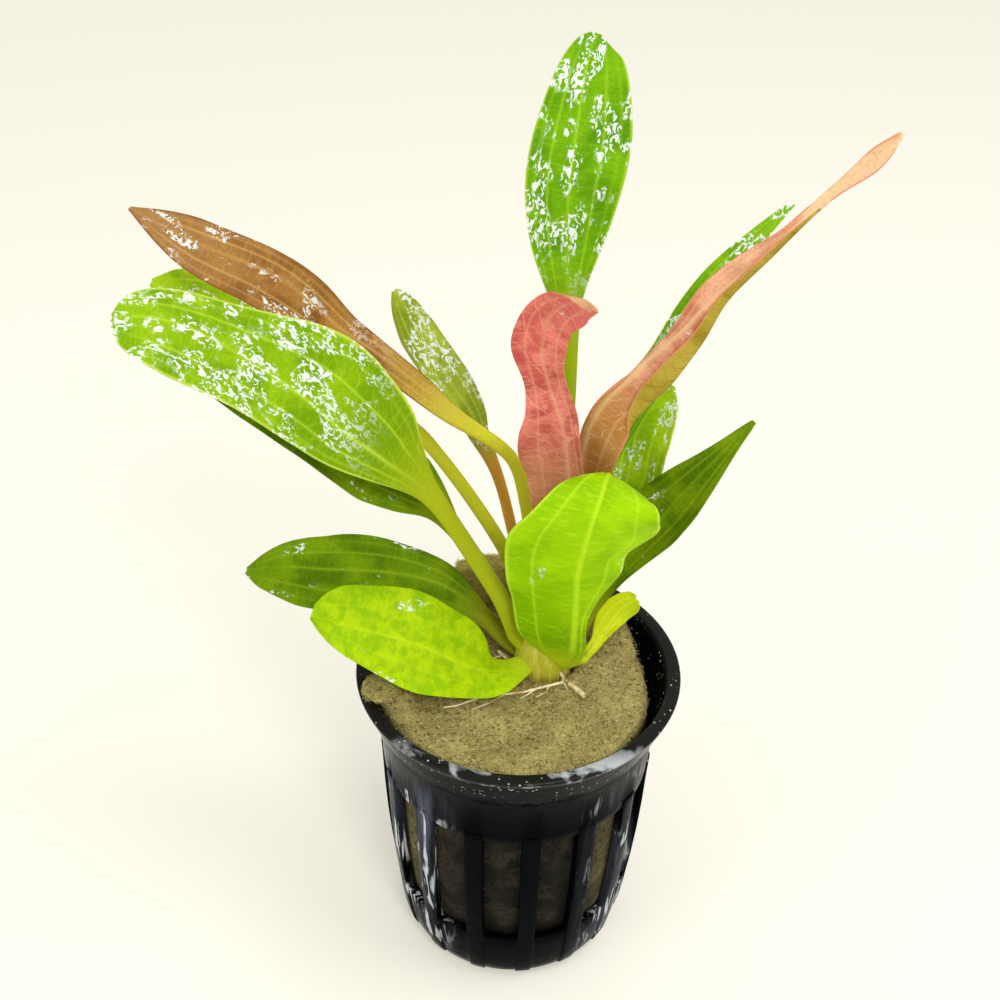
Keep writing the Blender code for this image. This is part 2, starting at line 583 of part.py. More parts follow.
def drain_cutter():
    """Narrow slots through the floor, clear of its middle."""
    blocks = bmesh.new()
    half = DRAIN_WIDTH / 2
    for i in range(DRAIN_SLOTS):
        turn = math.tau * (i + 0.5) / DRAIN_SLOTS
        along = Vector((math.cos(turn), math.sin(turn), 0))
        across = Vector((-math.sin(turn), math.cos(turn), 0)) * half
        near = along * DRAIN_INNER
        far = along * DRAIN_OUTER
        corners = [near - across, far - across, far + across, near + across]
        heights = (-1.0, BASE_THICKNESS + 1.0)
        skin_rings(blocks, [[corner + Vector((0, 0, height)) for corner in corners] for height in heights])
    return add_cutter("drain_cutter", blocks)


def add_cutter(name, mesh_builder):
    bmesh.ops.recalc_face_normals(mesh_builder, faces=mesh_builder.faces[:])
    mesh = bpy.data.meshes.new(name)
    mesh_builder.to_mesh(mesh)
    mesh_builder.free()
    cutter = bpy.data.objects.new(name, mesh)
    bpy.context.collection.objects.link(cutter)
    cutter.hide_render = True
    cutter.display_type = "WIRE"
    return cutter


def cut(thing, cutter, operation):
    modifier = thing.modifiers.new(cutter.name, "BOOLEAN")
    modifier.operation = operation
    modifier.solver = "EXACT"
    modifier.object = cutter


def wool_height(x, y):
    """Height of the wool's upper surface: gentle lumps, and higher at the back right."""
    lumps = 0.3 * math.sin(0.55 * x + 1.0) * math.sin(0.6 * y) + 0.2 * math.sin(0.9 * y + 0.4 * x)
    away = math.hypot(x - CROWN[0], y - CROWN[1])
    calm = min(max((away - CALM_RADIUS) / CALM_WIDTH, 0.0), 1.0)
    corner_x, corner_y, corner_rise, corner_spread = HIGH_CORNER
    corner = math.exp(-((x - corner_x) ** 2 + (y - corner_y) ** 2) / corner_spread)
    return WOOL_TOP + lumps * calm + corner_rise * corner * calm


def wool_edge(turn):
    """Reach of the wool's upper edge: a torn notch leaves a crescent at the right."""
    middle, spread, depth = EDGE_NOTCH
    away = (turn - middle + math.pi) % math.tau - math.pi
    notch = depth * math.exp(-(away / spread) ** 2) + 0.15 * math.sin(7 * turn)
    return WOOL_REACH - max(notch, 0.0)


def ring_towards_hole(outer_ring, turns, share):
    """A ring on the wool's upper surface, between its hole and its shoulder."""
    hole = round_ring(HOLE_RADIUS, 0.0, turns, CROWN)
    ring = []
    for (x, y, _), (hole_x, hole_y, _) in zip(outer_ring, hole):
        px = hole_x + (x - hole_x) * share
        py = hole_y + (y - hole_y) * share
        ring.append((px, py, wool_height(px, py)))
    return ring


def build_wool():
    """The wool fills the pot, with a hole for the crown in its upper surface."""
    turns = [math.tau * k / WOOL_SIDES for k in range(WOOL_SIDES)]
    rings = []
    for radius, height in INNER_WALL[:-2]:
        rings.append(round_ring(radius - GAP, max(height, WOOL_BASE), turns))
    edge = []
    shoulder = []
    for turn in turns:
        reach = wool_edge(turn)
        edge.append((reach * math.cos(turn), reach * math.sin(turn), WOOL_EDGE))
        x = (reach - WOOL_ROUNDING) * math.cos(turn)
        y = (reach - WOOL_ROUNDING) * math.sin(turn)
        shoulder.append((x, y, wool_height(x, y)))
    rings += [edge, shoulder]
    rings += [ring_towards_hole(shoulder, turns, share) for share in WOOL_TOP_RINGS]
    rings.append(round_ring(HOLE_RADIUS - HOLE_TAPER, HOLE_FLOOR, turns, CROWN))
    skin = bmesh.new()
    skin_rings(skin, rings)
    wool = add_object("rock_wool", skin, add_material("rock_wool", *WOOL_COLOUR))
    cut(wool, wool_flap(), "UNION")
    for centre, reach in RIM_LUMPS:
        cut(wool, wool_lump(centre, reach), "UNION")
    shade_round(wool, WOOL_CREASE)


def wool_flap():
    """The torn edge of the wool that stands up behind the crown."""
    rings = []
    for x, y, top in FLAP_EDGE:
        front = y - FLAP_FRONT
        back = y + FLAP_BACK
        rings.append([
            (x, front, FLAP_FOOT),
            (x, front, top - 1.0),
            (x, y, top),
            (x, back, top - 0.8),
            (x, back, FLAP_FOOT),
        ])
    slab = bmesh.new()
    skin_rings(slab, rings)
    return add_cutter("wool_flap_shape", slab)


def wool_lump(centre, reach):
    """A rounded lump of wool."""
    lump = bmesh.new()
    bmesh.ops.create_icosphere(lump, subdivisions=2, radius=1.0)
    for vertex in lump.verts:
        spot = [middle + half * c for middle, half, c in zip(centre, reach, vertex.co)]
        vertex.co = Vector(spot) * MM
    return add_cutter("wool_lump_shape", lump)


clear_scene()
build_pot()
build_wool()
build_crown()
for leaf_name, leaf_shape in LEAVES.items():
    build_leaf(leaf_name, leaf_shape)
root_material = add_material("root", *ROOT_COLOUR)
for root_name, root_shape in ROOTS.items():
    build_root(root_name, root_shape, root_material)
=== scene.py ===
# %% [markdown]
# A potted echinodorus
#
# This lesson dresses a measured model of a water plant in its net pot. The
# plain solids of the model give every piece its place. Here each piece gets
# its real surface: thin veined leaves, fibrous wool and wet black plastic.

# %% Load the frame
import json
import math

import bmesh
import bpy
import numpy as np
from mathutils import Matrix, Vector

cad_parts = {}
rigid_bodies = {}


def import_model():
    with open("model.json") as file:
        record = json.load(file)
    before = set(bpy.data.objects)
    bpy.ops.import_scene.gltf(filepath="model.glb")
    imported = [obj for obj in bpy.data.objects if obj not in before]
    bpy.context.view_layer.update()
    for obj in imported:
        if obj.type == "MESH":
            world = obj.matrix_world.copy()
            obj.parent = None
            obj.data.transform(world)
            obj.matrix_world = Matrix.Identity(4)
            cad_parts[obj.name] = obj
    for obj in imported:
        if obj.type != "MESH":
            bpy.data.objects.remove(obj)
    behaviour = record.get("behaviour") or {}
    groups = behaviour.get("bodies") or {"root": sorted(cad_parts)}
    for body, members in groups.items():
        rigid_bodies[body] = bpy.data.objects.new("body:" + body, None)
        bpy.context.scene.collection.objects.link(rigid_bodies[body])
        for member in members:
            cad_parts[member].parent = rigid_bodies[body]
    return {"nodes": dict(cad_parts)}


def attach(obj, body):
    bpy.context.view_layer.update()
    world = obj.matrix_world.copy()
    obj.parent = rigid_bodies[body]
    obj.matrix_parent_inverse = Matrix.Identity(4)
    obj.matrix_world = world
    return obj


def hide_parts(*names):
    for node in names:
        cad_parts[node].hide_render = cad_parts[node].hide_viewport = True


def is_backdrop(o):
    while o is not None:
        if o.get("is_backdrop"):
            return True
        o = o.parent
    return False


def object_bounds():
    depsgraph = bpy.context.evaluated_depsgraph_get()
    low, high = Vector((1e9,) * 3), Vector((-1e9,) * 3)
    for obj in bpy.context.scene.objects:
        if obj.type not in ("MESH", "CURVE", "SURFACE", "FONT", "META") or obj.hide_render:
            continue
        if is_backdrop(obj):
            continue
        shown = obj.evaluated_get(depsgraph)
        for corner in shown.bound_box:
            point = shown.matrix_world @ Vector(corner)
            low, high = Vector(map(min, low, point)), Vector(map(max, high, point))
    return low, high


for thing in list(bpy.data.objects):
    bpy.data.objects.remove(thing, do_unlink=True)
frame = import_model()
cad_low, cad_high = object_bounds()
MM = 0.001
print("frame holds", len(frame["nodes"]), "solids, box", cad_low[:], cad_high[:])

# %% [markdown]
# The camera stands in front of the plant, a little above it, and looks down
# at about 35 degrees. It comes first, because every look at the work needs it.

# %% Camera
CAMERA_PLACE = (-0.0038, -0.1775, 0.2182)
CAMERA_PITCH = 35.4
CAMERA_ROLL = 1.38
CAMERA_LENS = 50.4


def place_camera():
    view = bpy.data.cameras.new("view")
    view.lens = CAMERA_LENS
    view.sensor_width = 36.0
    view.clip_start = 0.01
    camera = bpy.data.objects.new("camera", view)
    bpy.context.collection.objects.link(camera)
    pitch = Matrix.Rotation(math.radians(90 - CAMERA_PITCH), 4, "X")
    roll = Matrix.Rotation(math.radians(CAMERA_ROLL), 4, "Z")
    camera.matrix_world = Matrix.Translation(CAMERA_PLACE) @ pitch @ roll
    bpy.context.scene.camera = camera
    print("camera is", round(Vector(CAMERA_PLACE).length, 3), "m from the origin")


place_camera()

# %% [markdown]
# Two habits keep the operators honest. Everything is deselected before a
# piece is made, and a finished piece says which solid it stands for.

# %% Selecting and finishing pieces
def deselect_all():
    if bpy.context.object and bpy.context.object.mode != "OBJECT":
        bpy.ops.object.mode_set(mode="OBJECT")
    bpy.ops.object.select_all(action="DESELECT")


def make_active(thing):
    deselect_all()
    thing.select_set(True)
    bpy.context.view_layer.objects.active = thing


def select_verts(work, verts):
    """Select only these vertices of a mesh that is open in edit mode."""
    for vert in work.verts:
        vert.select = False
    for vert in verts:
        vert.select = True
    work.select_flush_mode()


def select_faces(work, test):
    """Select only the faces whose centre passes a test, in edit mode."""
    for face in work.faces:
        face.select = False
    work.select_flush(False)
    chosen = [face for face in work.faces if test(face)]
    for face in chosen:
        face.select = True
    return chosen


def apply_modifiers(thing):
    make_active(thing)
    for modifier in list(thing.modifiers):
        bpy.ops.object.modifier_apply(modifier=modifier.name)


def stand_for(piece, node):
    """The piece shows in place of a solid of the frame, and rides with it."""
    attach(piece, "root")
    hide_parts(node)
    piece.data.calc_loop_triangles()
    print(piece.name, "has", len(piece.data.loop_triangles), "triangles")


# %% [markdown]
# Materials are small node trees. These helpers add a node, and mix two
# colours or two numbers, so that each finish below reads as a recipe.

# %% Material helpers
class Finish:
    """A material under construction, with its nodes and its shader."""

    def __init__(self, name):
        self.material = bpy.data.materials.new(name)
        self.material.use_nodes = True
        self.tree = self.material.node_tree
        self.shader = self.tree.nodes["Principled BSDF"]
        self.object_space = self.tree.nodes.new("ShaderNodeTexCoord").outputs["Object"]

    def link(self, source, target):
        if isinstance(source, (int, float)):
            target.default_value = source
        elif isinstance(source, tuple):
            target.default_value = (*source, 1.0) if len(source) == 3 else source
        else:
            self.tree.links.new(source, target)

    def stretched(self, scale, space=None):
        node = self.tree.nodes.new("ShaderNodeMapping")
        node.inputs["Scale"].default_value = scale
        self.link(space or self.object_space, node.inputs["Vector"])
        return node.outputs["Vector"]

    def noise(self, scale, detail=3.0, space=None, distortion=0.0):
        node = self.tree.nodes.new("ShaderNodeTexNoise")
        node.inputs["Scale"].default_value = scale
        node.inputs["Detail"].default_value = detail
        node.inputs["Distortion"].default_value = distortion
        self.link(space or self.object_space, node.inputs["Vector"])
        return node.outputs["Fac"]

    def cells(self, scale, space=None, feature="DISTANCE_TO_EDGE"):
        node = self.tree.nodes.new("ShaderNodeTexVoronoi")
        node.feature = feature
        node.inputs["Scale"].default_value = scale
        self.link(space or self.object_space, node.inputs["Vector"])
        return node.outputs["Distance"]

    def attribute(self, name):
        node = self.tree.nodes.new("ShaderNodeAttribute")
        node.attribute_name = name
        return node.outputs["Vector"]

    def parts(self, vector):
        node = self.tree.nodes.new("ShaderNodeSeparateXYZ")
        self.link(vector, node.inputs[0])
        return node.outputs

    def span(self, value, low, high, to_low=0.0, to_high=1.0):
        """Stretch a value from low..high to to_low..to_high, and hold it there."""
        node = self.tree.nodes.new("ShaderNodeMapRange")
        node.interpolation_type = "SMOOTHSTEP"
        for name, number in (("From Min", low), ("From Max", high), ("To Min", to_low), ("To Max", to_high)):
            node.inputs[name].default_value = number
        self.link(value, node.inputs["Value"])
        return node.outputs["Result"]

    def math(self, kind, first, second):
        node = self.tree.nodes.new("ShaderNodeMath")
        node.operation = kind
        self.link(first, node.inputs[0])
        self.link(second, node.inputs[1])
        return node.outputs[0]

    def mix(self, amount, first, second):
        node = self.tree.nodes.new("ShaderNodeMix")
        node.data_type = "RGBA"
        self.link(amount, node.inputs["Factor"])
        self.link(first, node.inputs[6])
        self.link(second, node.inputs[7])
        return node.outputs[2]

    def bump(self, height, distance, strength=1.0, below=None):
        node = self.tree.nodes.new("ShaderNodeBump")
        node.inputs["Distance"].default_value = distance
        node.inputs["Strength"].default_value = strength
        self.link(height, node.inputs["Height"])
        if below is not None:
            self.link(below, node.inputs["Normal"])
        return node.outputs["Normal"]

    def set(self, name, value):
        self.link(value, self.shader.inputs[name])


# %% [markdown]
# The pot is a moulded cup of thin black plastic with a flat rim, a flared
# lip and tall windows between ribs. A lathe profile would do for the wall,
# but here one ring of edges is pulled up the outside, over the rim and down
# the inside, so that the windows and ribs can be cut from its faces.

# %% Pot measures
WINDOWS = 15
STEPS_PER_WINDOW = 9
BAR_STEPS = 3
FIRST_BAR_ANGLE = -82.5
WINDOW_TOP = 39.5
WINDOW_BOTTOM = 12.5
RIB_TOP = 41.0
RIB_HEIGHT = 0.3
OUTER_WALL = [(17.4, 0.0), (18.6, 0.35), (19.4, 1.2), (20.1, 3.0), (20.7, 6.0), (21.2, 9.5), (21.5, WINDOW_BOTTOM),
              (22.1, 18.0), (22.6, 24.0), (23.0, 31.0), (23.3, WINDOW_TOP), (23.4, RIB_TOP), (23.8, 48.8),
              (24.1, 49.3), (24.7, 50.4), (25.9, 53.6), (27.2, 56.8), (27.5, 57.6), (27.35, 57.9), (27.1, 58.0)]
INNER_WALL = [(25.5, 58.0), (25.3, 57.9), (25.2, 57.6), (24.4, 54.8), (22.7, 49.0), (22.2, 41.0), (22.1, WINDOW_TOP),
              (21.7, 31.0), (21.2, 22.0), (20.2, WINDOW_BOTTOM), (19.2, 6.0), (18.2, 3.4), (15.6, 1.5)]


# %% Pot walls
def extrude_ring(radius, height, last_radius, last_height):
    """Pull the selected ring of edges to the next radius and height."""
    rise = (0, 0, (height - last_height) * MM)
    bpy.ops.mesh.extrude_region_move(TRANSFORM_OT_translate={"value": rise})
    grow = radius / last_radius
    bpy.ops.transform.resize(value=(grow, grow, 1), center_override=(0, 0, height * MM))


def face_turn(face):
    """Where a face's centre lies within its window's step, from 0 at a bar's middle."""
    centre = face.calc_center_median()
    angle = math.degrees(math.atan2(centre.y, centre.x)) - FIRST_BAR_ANGLE
    pitch = 360.0 / WINDOWS
    return (angle + pitch / 2) % pitch - pitch / 2


def is_wall(face, outside):
    """Whether a face belongs to the outer or to the inner side of the wall."""
    centre = face.calc_center_median()
    outward = Vector((centre.x, centre.y, 0)).normalized()
    facing = face.normal.dot(outward)
    return facing > 0.5 if outside else facing < -0.5


def build_pot():
    deselect_all()
    first_radius, first_height = OUTER_WALL[0]
    half_step = 180.0 / WINDOWS / STEPS_PER_WINDOW
    bpy.ops.mesh.primitive_circle_add(
        vertices=WINDOWS * STEPS_PER_WINDOW, radius=first_radius * MM, fill_type="NOTHING",
        location=(0, 0, 0), rotation=(0, 0, math.radians(FIRST_BAR_ANGLE + half_step)))
    pot = bpy.context.object
    pot.name = "pot_shell"
    bpy.ops.object.transform_apply(location=False, rotation=True, scale=False)
    bpy.ops.object.mode_set(mode="EDIT")
    bpy.ops.mesh.select_mode(type="EDGE")
    bpy.ops.mesh.select_all(action="SELECT")
    last = OUTER_WALL[0]
    for ring in OUTER_WALL[1:] + INNER_WALL:
        extrude_ring(*ring, *last)
        last = ring
    bpy.ops.mesh.edge_face_add()
    work = bmesh.from_edit_mesh(pot.data)
    for edge in work.edges:
        edge.select = edge.is_boundary
    work.select_flush_mode()
    bpy.ops.mesh.edge_face_add()
    bpy.ops.mesh.select_all(action="SELECT")
    bpy.ops.mesh.normals_make_consistent(inside=False)
    open_windows(pot)
    raise_ribs(pot)
    bpy.ops.object.mode_set(mode="OBJECT")
    return pot


# %% [markdown]
# A window is opened by deleting its faces on both sides of the wall, and
# bridging the two holes that this leaves. The ribs are the bars between the
# windows, pushed outwards along their normals down to the foot of the pot.

# %% Pot windows and ribs
def open_windows(pot):
    bpy.ops.mesh.select_mode(type="FACE")
    half_bar = BAR_STEPS * 360.0 / WINDOWS / STEPS_PER_WINDOW / 2
    for i in range(WINDOWS):
        middle = math.radians(FIRST_BAR_ANGLE + (i + 0.5) * 360.0 / WINDOWS)
        towards = Vector((math.cos(middle), math.sin(middle), 0))
        work = bmesh.from_edit_mesh(pot.data)

        def in_window(face):
            centre = face.calc_center_median()
            between = WINDOW_BOTTOM * MM < centre.z < WINDOW_TOP * MM
            here = Vector((centre.x, centre.y, 0)).normalized().dot(towards) > math.cos(math.radians(12))
            return between and here and abs(face_turn(face)) > half_bar

        chosen = select_faces(work, in_window)
        rims = {edge for face in chosen for edge in face.edges
                if sum(other.select for other in edge.link_faces) == 1}
        ends = [(edge.verts[0].co.copy(), edge.verts[1].co.copy()) for edge in rims]
        bpy.ops.mesh.delete(type="FACE")
        work = bmesh.from_edit_mesh(pot.data)
        middles = {tuple(round(c, 6) for c in (a + b) / 2) for a, b in ends}
        for edge in work.edges:
            spot = (edge.verts[0].co + edge.verts[1].co) / 2
            edge.select = edge.is_boundary and tuple(round(c, 6) for c in spot) in middles
        bpy.ops.mesh.select_mode(type="EDGE")
        bpy.ops.mesh.bridge_edge_loops()
        bpy.ops.mesh.select_mode(type="FACE")


def raise_ribs(pot):
    work = bmesh.from_edit_mesh(pot.data)
    half_bar = BAR_STEPS * 360.0 / WINDOWS / STEPS_PER_WINDOW / 2

    def on_bar(face):
        height = face.calc_center_median().z / MM
        return is_wall(face, True) and 1.2 < height < RIB_TOP and abs(face_turn(face)) < half_bar

    select_faces(work, on_bar)
    bmesh.update_edit_mesh(pot.data)
    bpy.ops.mesh.extrude_region_shrink_fatten(TRANSFORM_OT_shrink_fatten={"value": RIB_HEIGHT * MM})


pot = build_pot()
bevel = pot.modifiers.new("edges", "BEVEL")
bevel.width = 0.16 * MM
bevel.segments = 2
bevel.limit_method = "ANGLE"
bevel.angle_limit = math.radians(38)
apply_modifiers(pot)
make_active(pot)
bpy.ops.object.shade_smooth_by_angle(angle=math.radians(42))
stand_for(pot, "net_pot")
print("pot box", [round(c / MM, 1) for c in pot.dimensions])

# %% [markdown]
# The wool starts from the solid's own shape, copied and welded, because its
# flap and its planting hole have to stay where they are. A voxel remesh gives
# it even faces, and displacements make it matted and fibrous. Where the pot is
# open, the wet wool swells a little way into its windows.

# %% Rock wool
WOOL_VOXEL = 0.62
WOOL_SWELL = 0.7
LOOSE_FIBRES = 15000
SIDE_FIBRES = 5200
FIBRE_SEED = 11


def build_wool():
    deselect_all()
    source = bpy.data.objects["rock_wool"]
    wool = bpy.data.objects.new("wool_block", source.data.copy())
    bpy.context.collection.objects.link(wool)
    wool.matrix_world = source.matrix_world
    make_active(wool)
    bpy.ops.object.transform_apply(location=True, rotation=True, scale=True)
    bpy.ops.object.mode_set(mode="EDIT")
    bpy.ops.mesh.select_all(action="SELECT")
    bpy.ops.mesh.remove_doubles(threshold=0.00001)
    bpy.ops.object.mode_set(mode="OBJECT")
    wool.data.materials.clear()
    remesh = wool.modifiers.new("even", "REMESH")
    remesh.mode = "VOXEL"
    remesh.voxel_size = WOOL_VOXEL * MM
    apply_modifiers(wool)
    weigh_wool(wool)
    swell_wool(wool)
    for name, size, strength, depth in (("lumps", 3.4, 0.7, 2), ("tufts", 0.9, 0.5, 2)):
        texture = bpy.data.textures.new(name, "CLOUDS")
        texture.noise_scale = size * MM
        texture.noise_depth = depth
        push = wool.modifiers.new(name, "DISPLACE")
        push.texture = texture
        push.strength = strength * MM
        push.mid_level = 0.62
        push.vertex_group = "free"
    apply_modifiers(wool)
    make_active(wool)
    bpy.ops.object.shade_smooth()
    return wool


def weigh_wool(wool):
    """The wool is free to swell on top, and held back where the wall presses on it."""
    group = wool.vertex_groups.new(name="free")
    for vert in wool.data.vertices:
        height = vert.co.z / MM
        reach = math.hypot(vert.co.x, vert.co.y) / MM
        held = 0.25 if height < 54 or (reach > 23.6 and height < 58) else 1.0
        group.add([vert.index], held, "REPLACE")


def swell_wool(wool):
    """Push the side of the wool out into the middle of each window."""
    pitch = math.tau / WINDOWS
    for vert in wool.data.vertices:
        reach = math.hypot(vert.co.x, vert.co.y) / MM
        height = vert.co.z / MM
        if reach < 17 or not WINDOW_BOTTOM < height < WINDOW_TOP:
            continue
        turn = (math.atan2(vert.co.y, vert.co.x) - math.radians(FIRST_BAR_ANGLE)) / pitch % 1.0
        open_here = math.sin(math.pi * turn) ** 2
        tall = math.sin(math.pi * (height - WINDOW_BOTTOM) / (WINDOW_TOP - WINDOW_BOTTOM)) ** 0.5
        grow = 1 + WOOL_SWELL * open_here * tall / reach
        vert.co.x *= grow
        vert.co.y *= grow


# %% [markdown]
# Mineral wool shows single fibres on its broken surfaces. Each fibre is a
# narrow strip with a slight curve, laid on the surface at a random turn, and
# all of them are joined in one mesh.

# %% Loose wool fibres
def surface_spots(thing, count, random, wanted):
    """Random spots on the faces of a mesh that pass a test, with their normals."""
    faces = [face for face in thing.data.polygons if wanted(face)]
    areas = np.array([face.area for face in faces])
    chosen = random.choice(len(faces), count, p=areas / areas.sum())
    spots = []
    for index in chosen:
        face = faces[index]
        corners = [thing.data.vertices[i].co for i in face.vertices]
        shares = random.dirichlet(np.ones(len(corners)))
        spot = Vector((0, 0, 0))
        for corner, share in zip(corners, shares):
            spot += corner * float(share)
        spots.append((spot, face.normal.copy()))
    return spots


def add_fibres(name, spots, random, length, width, lift):
    """Join one curved strip of two faces for each spot into one mesh."""
    work = bmesh.new()
    for spot, normal in spots:
        turn = random.uniform(0, math.tau)
        across = normal.orthogonal().normalized()
        along = across * math.cos(turn) + normal.cross(across) * math.sin(turn)
        beside = normal.cross(along)
        reach = random.uniform(*length) * MM
        rise = random.uniform(0.3, 1.0) * lift * MM
        sway = random.uniform(-0.25, 0.25) * reach
        half = beside * (random.uniform(*width) * MM / 2)
        middle = spot + normal * rise + beside * sway
        ends = [spot - along * reach / 2 - normal * 0.1 * MM, middle, spot + along * reach / 2 + normal * rise * 0.2]
        pairs = [(work.verts.new(end - half), work.verts.new(end + half)) for end in ends]
        for (a, b), (c, d) in zip(pairs, pairs[1:]):
            work.faces.new((a, b, d, c))
    mesh = bpy.data.meshes.new(name)
    work.to_mesh(mesh)
    work.free()
    thing = bpy.data.objects.new(name, mesh)
    bpy.context.collection.objects.link(thing)
    return thing


wool = build_wool()
random = np.random.default_rng(FIBRE_SEED)
top_spots = surface_spots(wool, LOOSE_FIBRES, random, lambda face: face.center.z > 53 * MM and face.normal.z > -0.3)
fibres = add_fibres("wool_fibres", top_spots, random, (0.8, 3.2), (0.035, 0.09), 0.32)
side_spots = surface_spots(wool, SIDE_FIBRES, random, lambda face: 12 * MM < face.center.z < 41 * MM)
side_fibres = add_fibres("wool_side_fibres", side_spots, random, (0.8, 3.0), (0.035, 0.09), 0.15)
stand_for(wool, "rock_wool")
stand_for(fibres, "rock_wool")
stand_for(side_fibres, "rock_wool")

# %% [markdown]
# The wool is olive and gold on top. On its sides, behind the bars of the pot, it is wet, and its colour there is
# painted nearly black as painted shade, with painted light making it paler towards the left and right. Dark specks
# between the matted fibres are painted shade in the gaps, and the flap behind the crown is painted paler where the
# leaves above shade it.

# %% Wool finish
def wool_finish(name, bright):
    finish = Finish(name)
    x, y, height = finish.parts(finish.object_space)
    above = finish.span(height, 0.050, 0.0545)
    patches = finish.noise(190, 5)
    threads = finish.noise(1.0, 6, finish.stretched((1300, 2900, 1300)), 1.8)
    # Painted shade: dark specks in the gaps between the fibres.
    painted_gap_shade = finish.span(finish.noise(1500, 4, distortion=0.8), 0.46, 0.36)
    pale, deep = (tuple(c * bright for c in colour) for colour in ((0.60, 0.49, 0.16), (0.40, 0.32, 0.09)))
    top = finish.mix(finish.span(patches, 0.34, 0.66), deep, pale)
    top = finish.mix(finish.span(threads, 0.47, 0.60, 0.0, 0.75), top, (0.80, 0.70, 0.32))
    top = finish.mix(finish.math("MULTIPLY", painted_gap_shade, 0.8), top, (0.15, 0.11, 0.028))
    # Painted light: the flap behind the crown is painted paler, where the leaves above shade it.
    flap_painted_light = finish.math("MULTIPLY", finish.span(height, 0.0585, 0.0625), finish.span(y, 0.010, 0.013))
    top = finish.mix(finish.math("MULTIPLY", flap_painted_light, 0.8), top, (0.80, 0.66, 0.20))
    # Painted shade and light: the sides behind the bars are painted nearly black, as wet wool in shade, and paler
    # towards the left and right, where more light falls.
    sides = finish.span(finish.math("ABSOLUTE", x, 0.0), 0.010, 0.019)
    wet = finish.mix(sides, (0.010, 0.0085, 0.005), (0.15, 0.125, 0.055))
    painted_lit_side = finish.mix(sides, (0.035, 0.030, 0.018), (0.24, 0.20, 0.10))
    wet = finish.mix(finish.span(patches, 0.44, 0.62), wet, painted_lit_side)
    wet = finish.mix(finish.math("MULTIPLY", painted_gap_shade, 0.7), wet, (0.008, 0.007, 0.004))
    finish.set("Base Color", finish.mix(above, wet, top))
    finish.set("Roughness", finish.span(patches, 0.35, 0.65, 0.7, 0.95))
    finish.set("Specular IOR Level", 0.12)
    finish.set("Normal", finish.bump(finish.math("ADD", threads, finish.noise(2200, 3)), 0.0006, 1.0))
    return finish.material


wool.data.materials.append(wool_finish("wool_matted", 1.0))
fibre_material = wool_finish("wool_threads", 1.15)
fibres.data.materials.append(fibre_material)
side_fibres.data.materials.append(fibre_material)

# %% [markdown]
# The plastic is black and shiny, and it is wet. What makes it read as wet is its highlights: a low, uneven gloss, and
# in the colour painted highlights, that is thin pale streaks and a grey sheen down the bars at the left and right, and
# glints on the rim.

# %% Pot finish
def pot_finish():
    finish = Finish("pot_black")
    x, y, height = finish.parts(finish.object_space)
    streaks = finish.noise(1.0, 5, finish.stretched((900, 900, 90)), 0.8)
    painted_sheen = finish.noise(1.0, 2, finish.stretched((330, 330, 28)), 0.4)
    patches = finish.noise(95, 3)
    left = finish.span(x, -0.0085, -0.0165)
    right = finish.span(x, 0.0100, 0.0175)
    below_neck = finish.span(height, 0.0500, 0.0430)
    sides = finish.math("MULTIPLY", finish.math("ADD", left, finish.math("MULTIPLY", right, 0.8)), below_neck)
    # Painted highlights: thin pale streaks down the bars at the left and right, mixed into the colour.
    painted_streaks = finish.math("MULTIPLY", finish.span(streaks, 0.53, 0.60), finish.span(patches, 0.50, 0.58))
    painted_streaks = finish.math("MULTIPLY", painted_streaks, sides)
    # Painted sheen: a soft grey reflection along the same bars, mixed into the colour.
    painted_sheen = finish.math("MULTIPLY", finish.span(painted_sheen, 0.46, 0.70, 0.0, 0.55), sides)
    rim_top = finish.span(height, 0.0566, 0.0574)
    front = finish.math("MULTIPLY", rim_top, finish.span(y, -0.017, -0.023))
    # Painted highlights on the rim: soft glints at its front and fine glinting specks round its top.
    rim_painted_sheen = finish.math("MULTIPLY", finish.span(finish.noise(170, 4, distortion=0.5), 0.50, 0.60), front)
    painted_glint_specks = finish.span(finish.cells(1100, feature="F1"), 0.24, 0.10)
    painted_glint_specks = finish.math("MULTIPLY", painted_glint_specks, finish.span(height, 0.050, 0.0555))
    painted_glint_specks = finish.math("MULTIPLY", painted_glint_specks, finish.span(finish.noise(260, 2), 0.47, 0.58))
    # All the painted highlights, streaks, rim glints and specks, join here and lighten the black colour.
    bright = finish.math("MAXIMUM", finish.math("MAXIMUM", painted_streaks, painted_glint_specks), finish.math("MULTIPLY", rim_painted_sheen, 0.75))
    colour = finish.mix(rim_top, (0.0012, 0.0018, 0.0026), (0.010, 0.0095, 0.009))
    colour = finish.mix(painted_sheen, colour, (0.13, 0.145, 0.20))
    finish.set("Base Color", finish.mix(bright, colour, (0.55, 0.58, 0.62)))
    finish.set("Roughness", finish.span(patches, 0.35, 0.65, 0.12, 0.26))
    finish.set("Specular IOR Level", finish.mix(rim_top, (0.012, 0.012, 0.012), (0.10, 0.10, 0.10)))
    wobble = finish.bump(finish.noise(420, 3), 0.0004, 0.25)
    finish.set("Normal", finish.bump(streaks, 0.0002, 0.3, wobble))
    return finish.material


pot.data.materials.append(pot_finish())

# %% [markdown]
# All the leaves grow from one short crown, and every leaf stalk wraps the
# next one. So the crown is pulled up ring by ring and then scored with
# grooves: alternate columns of vertices move inwards a little.

# %% Crown
CROWN_CENTRE = (4.2, 1.8)
CROWN_OUTLINE = [(2.1, 49.2), (3.2, 50.2), (3.9, 51.6), (4.4, 53.4), (4.7, 55.2), (5.0, 57.0), (5.0, 58.6),
                 (4.7, 60.2), (4.2, 61.8), (3.6, 63.2), (2.9, 64.4), (2.0, 65.1)]
CROWN_COLUMNS = 64
SHEATHS = 7


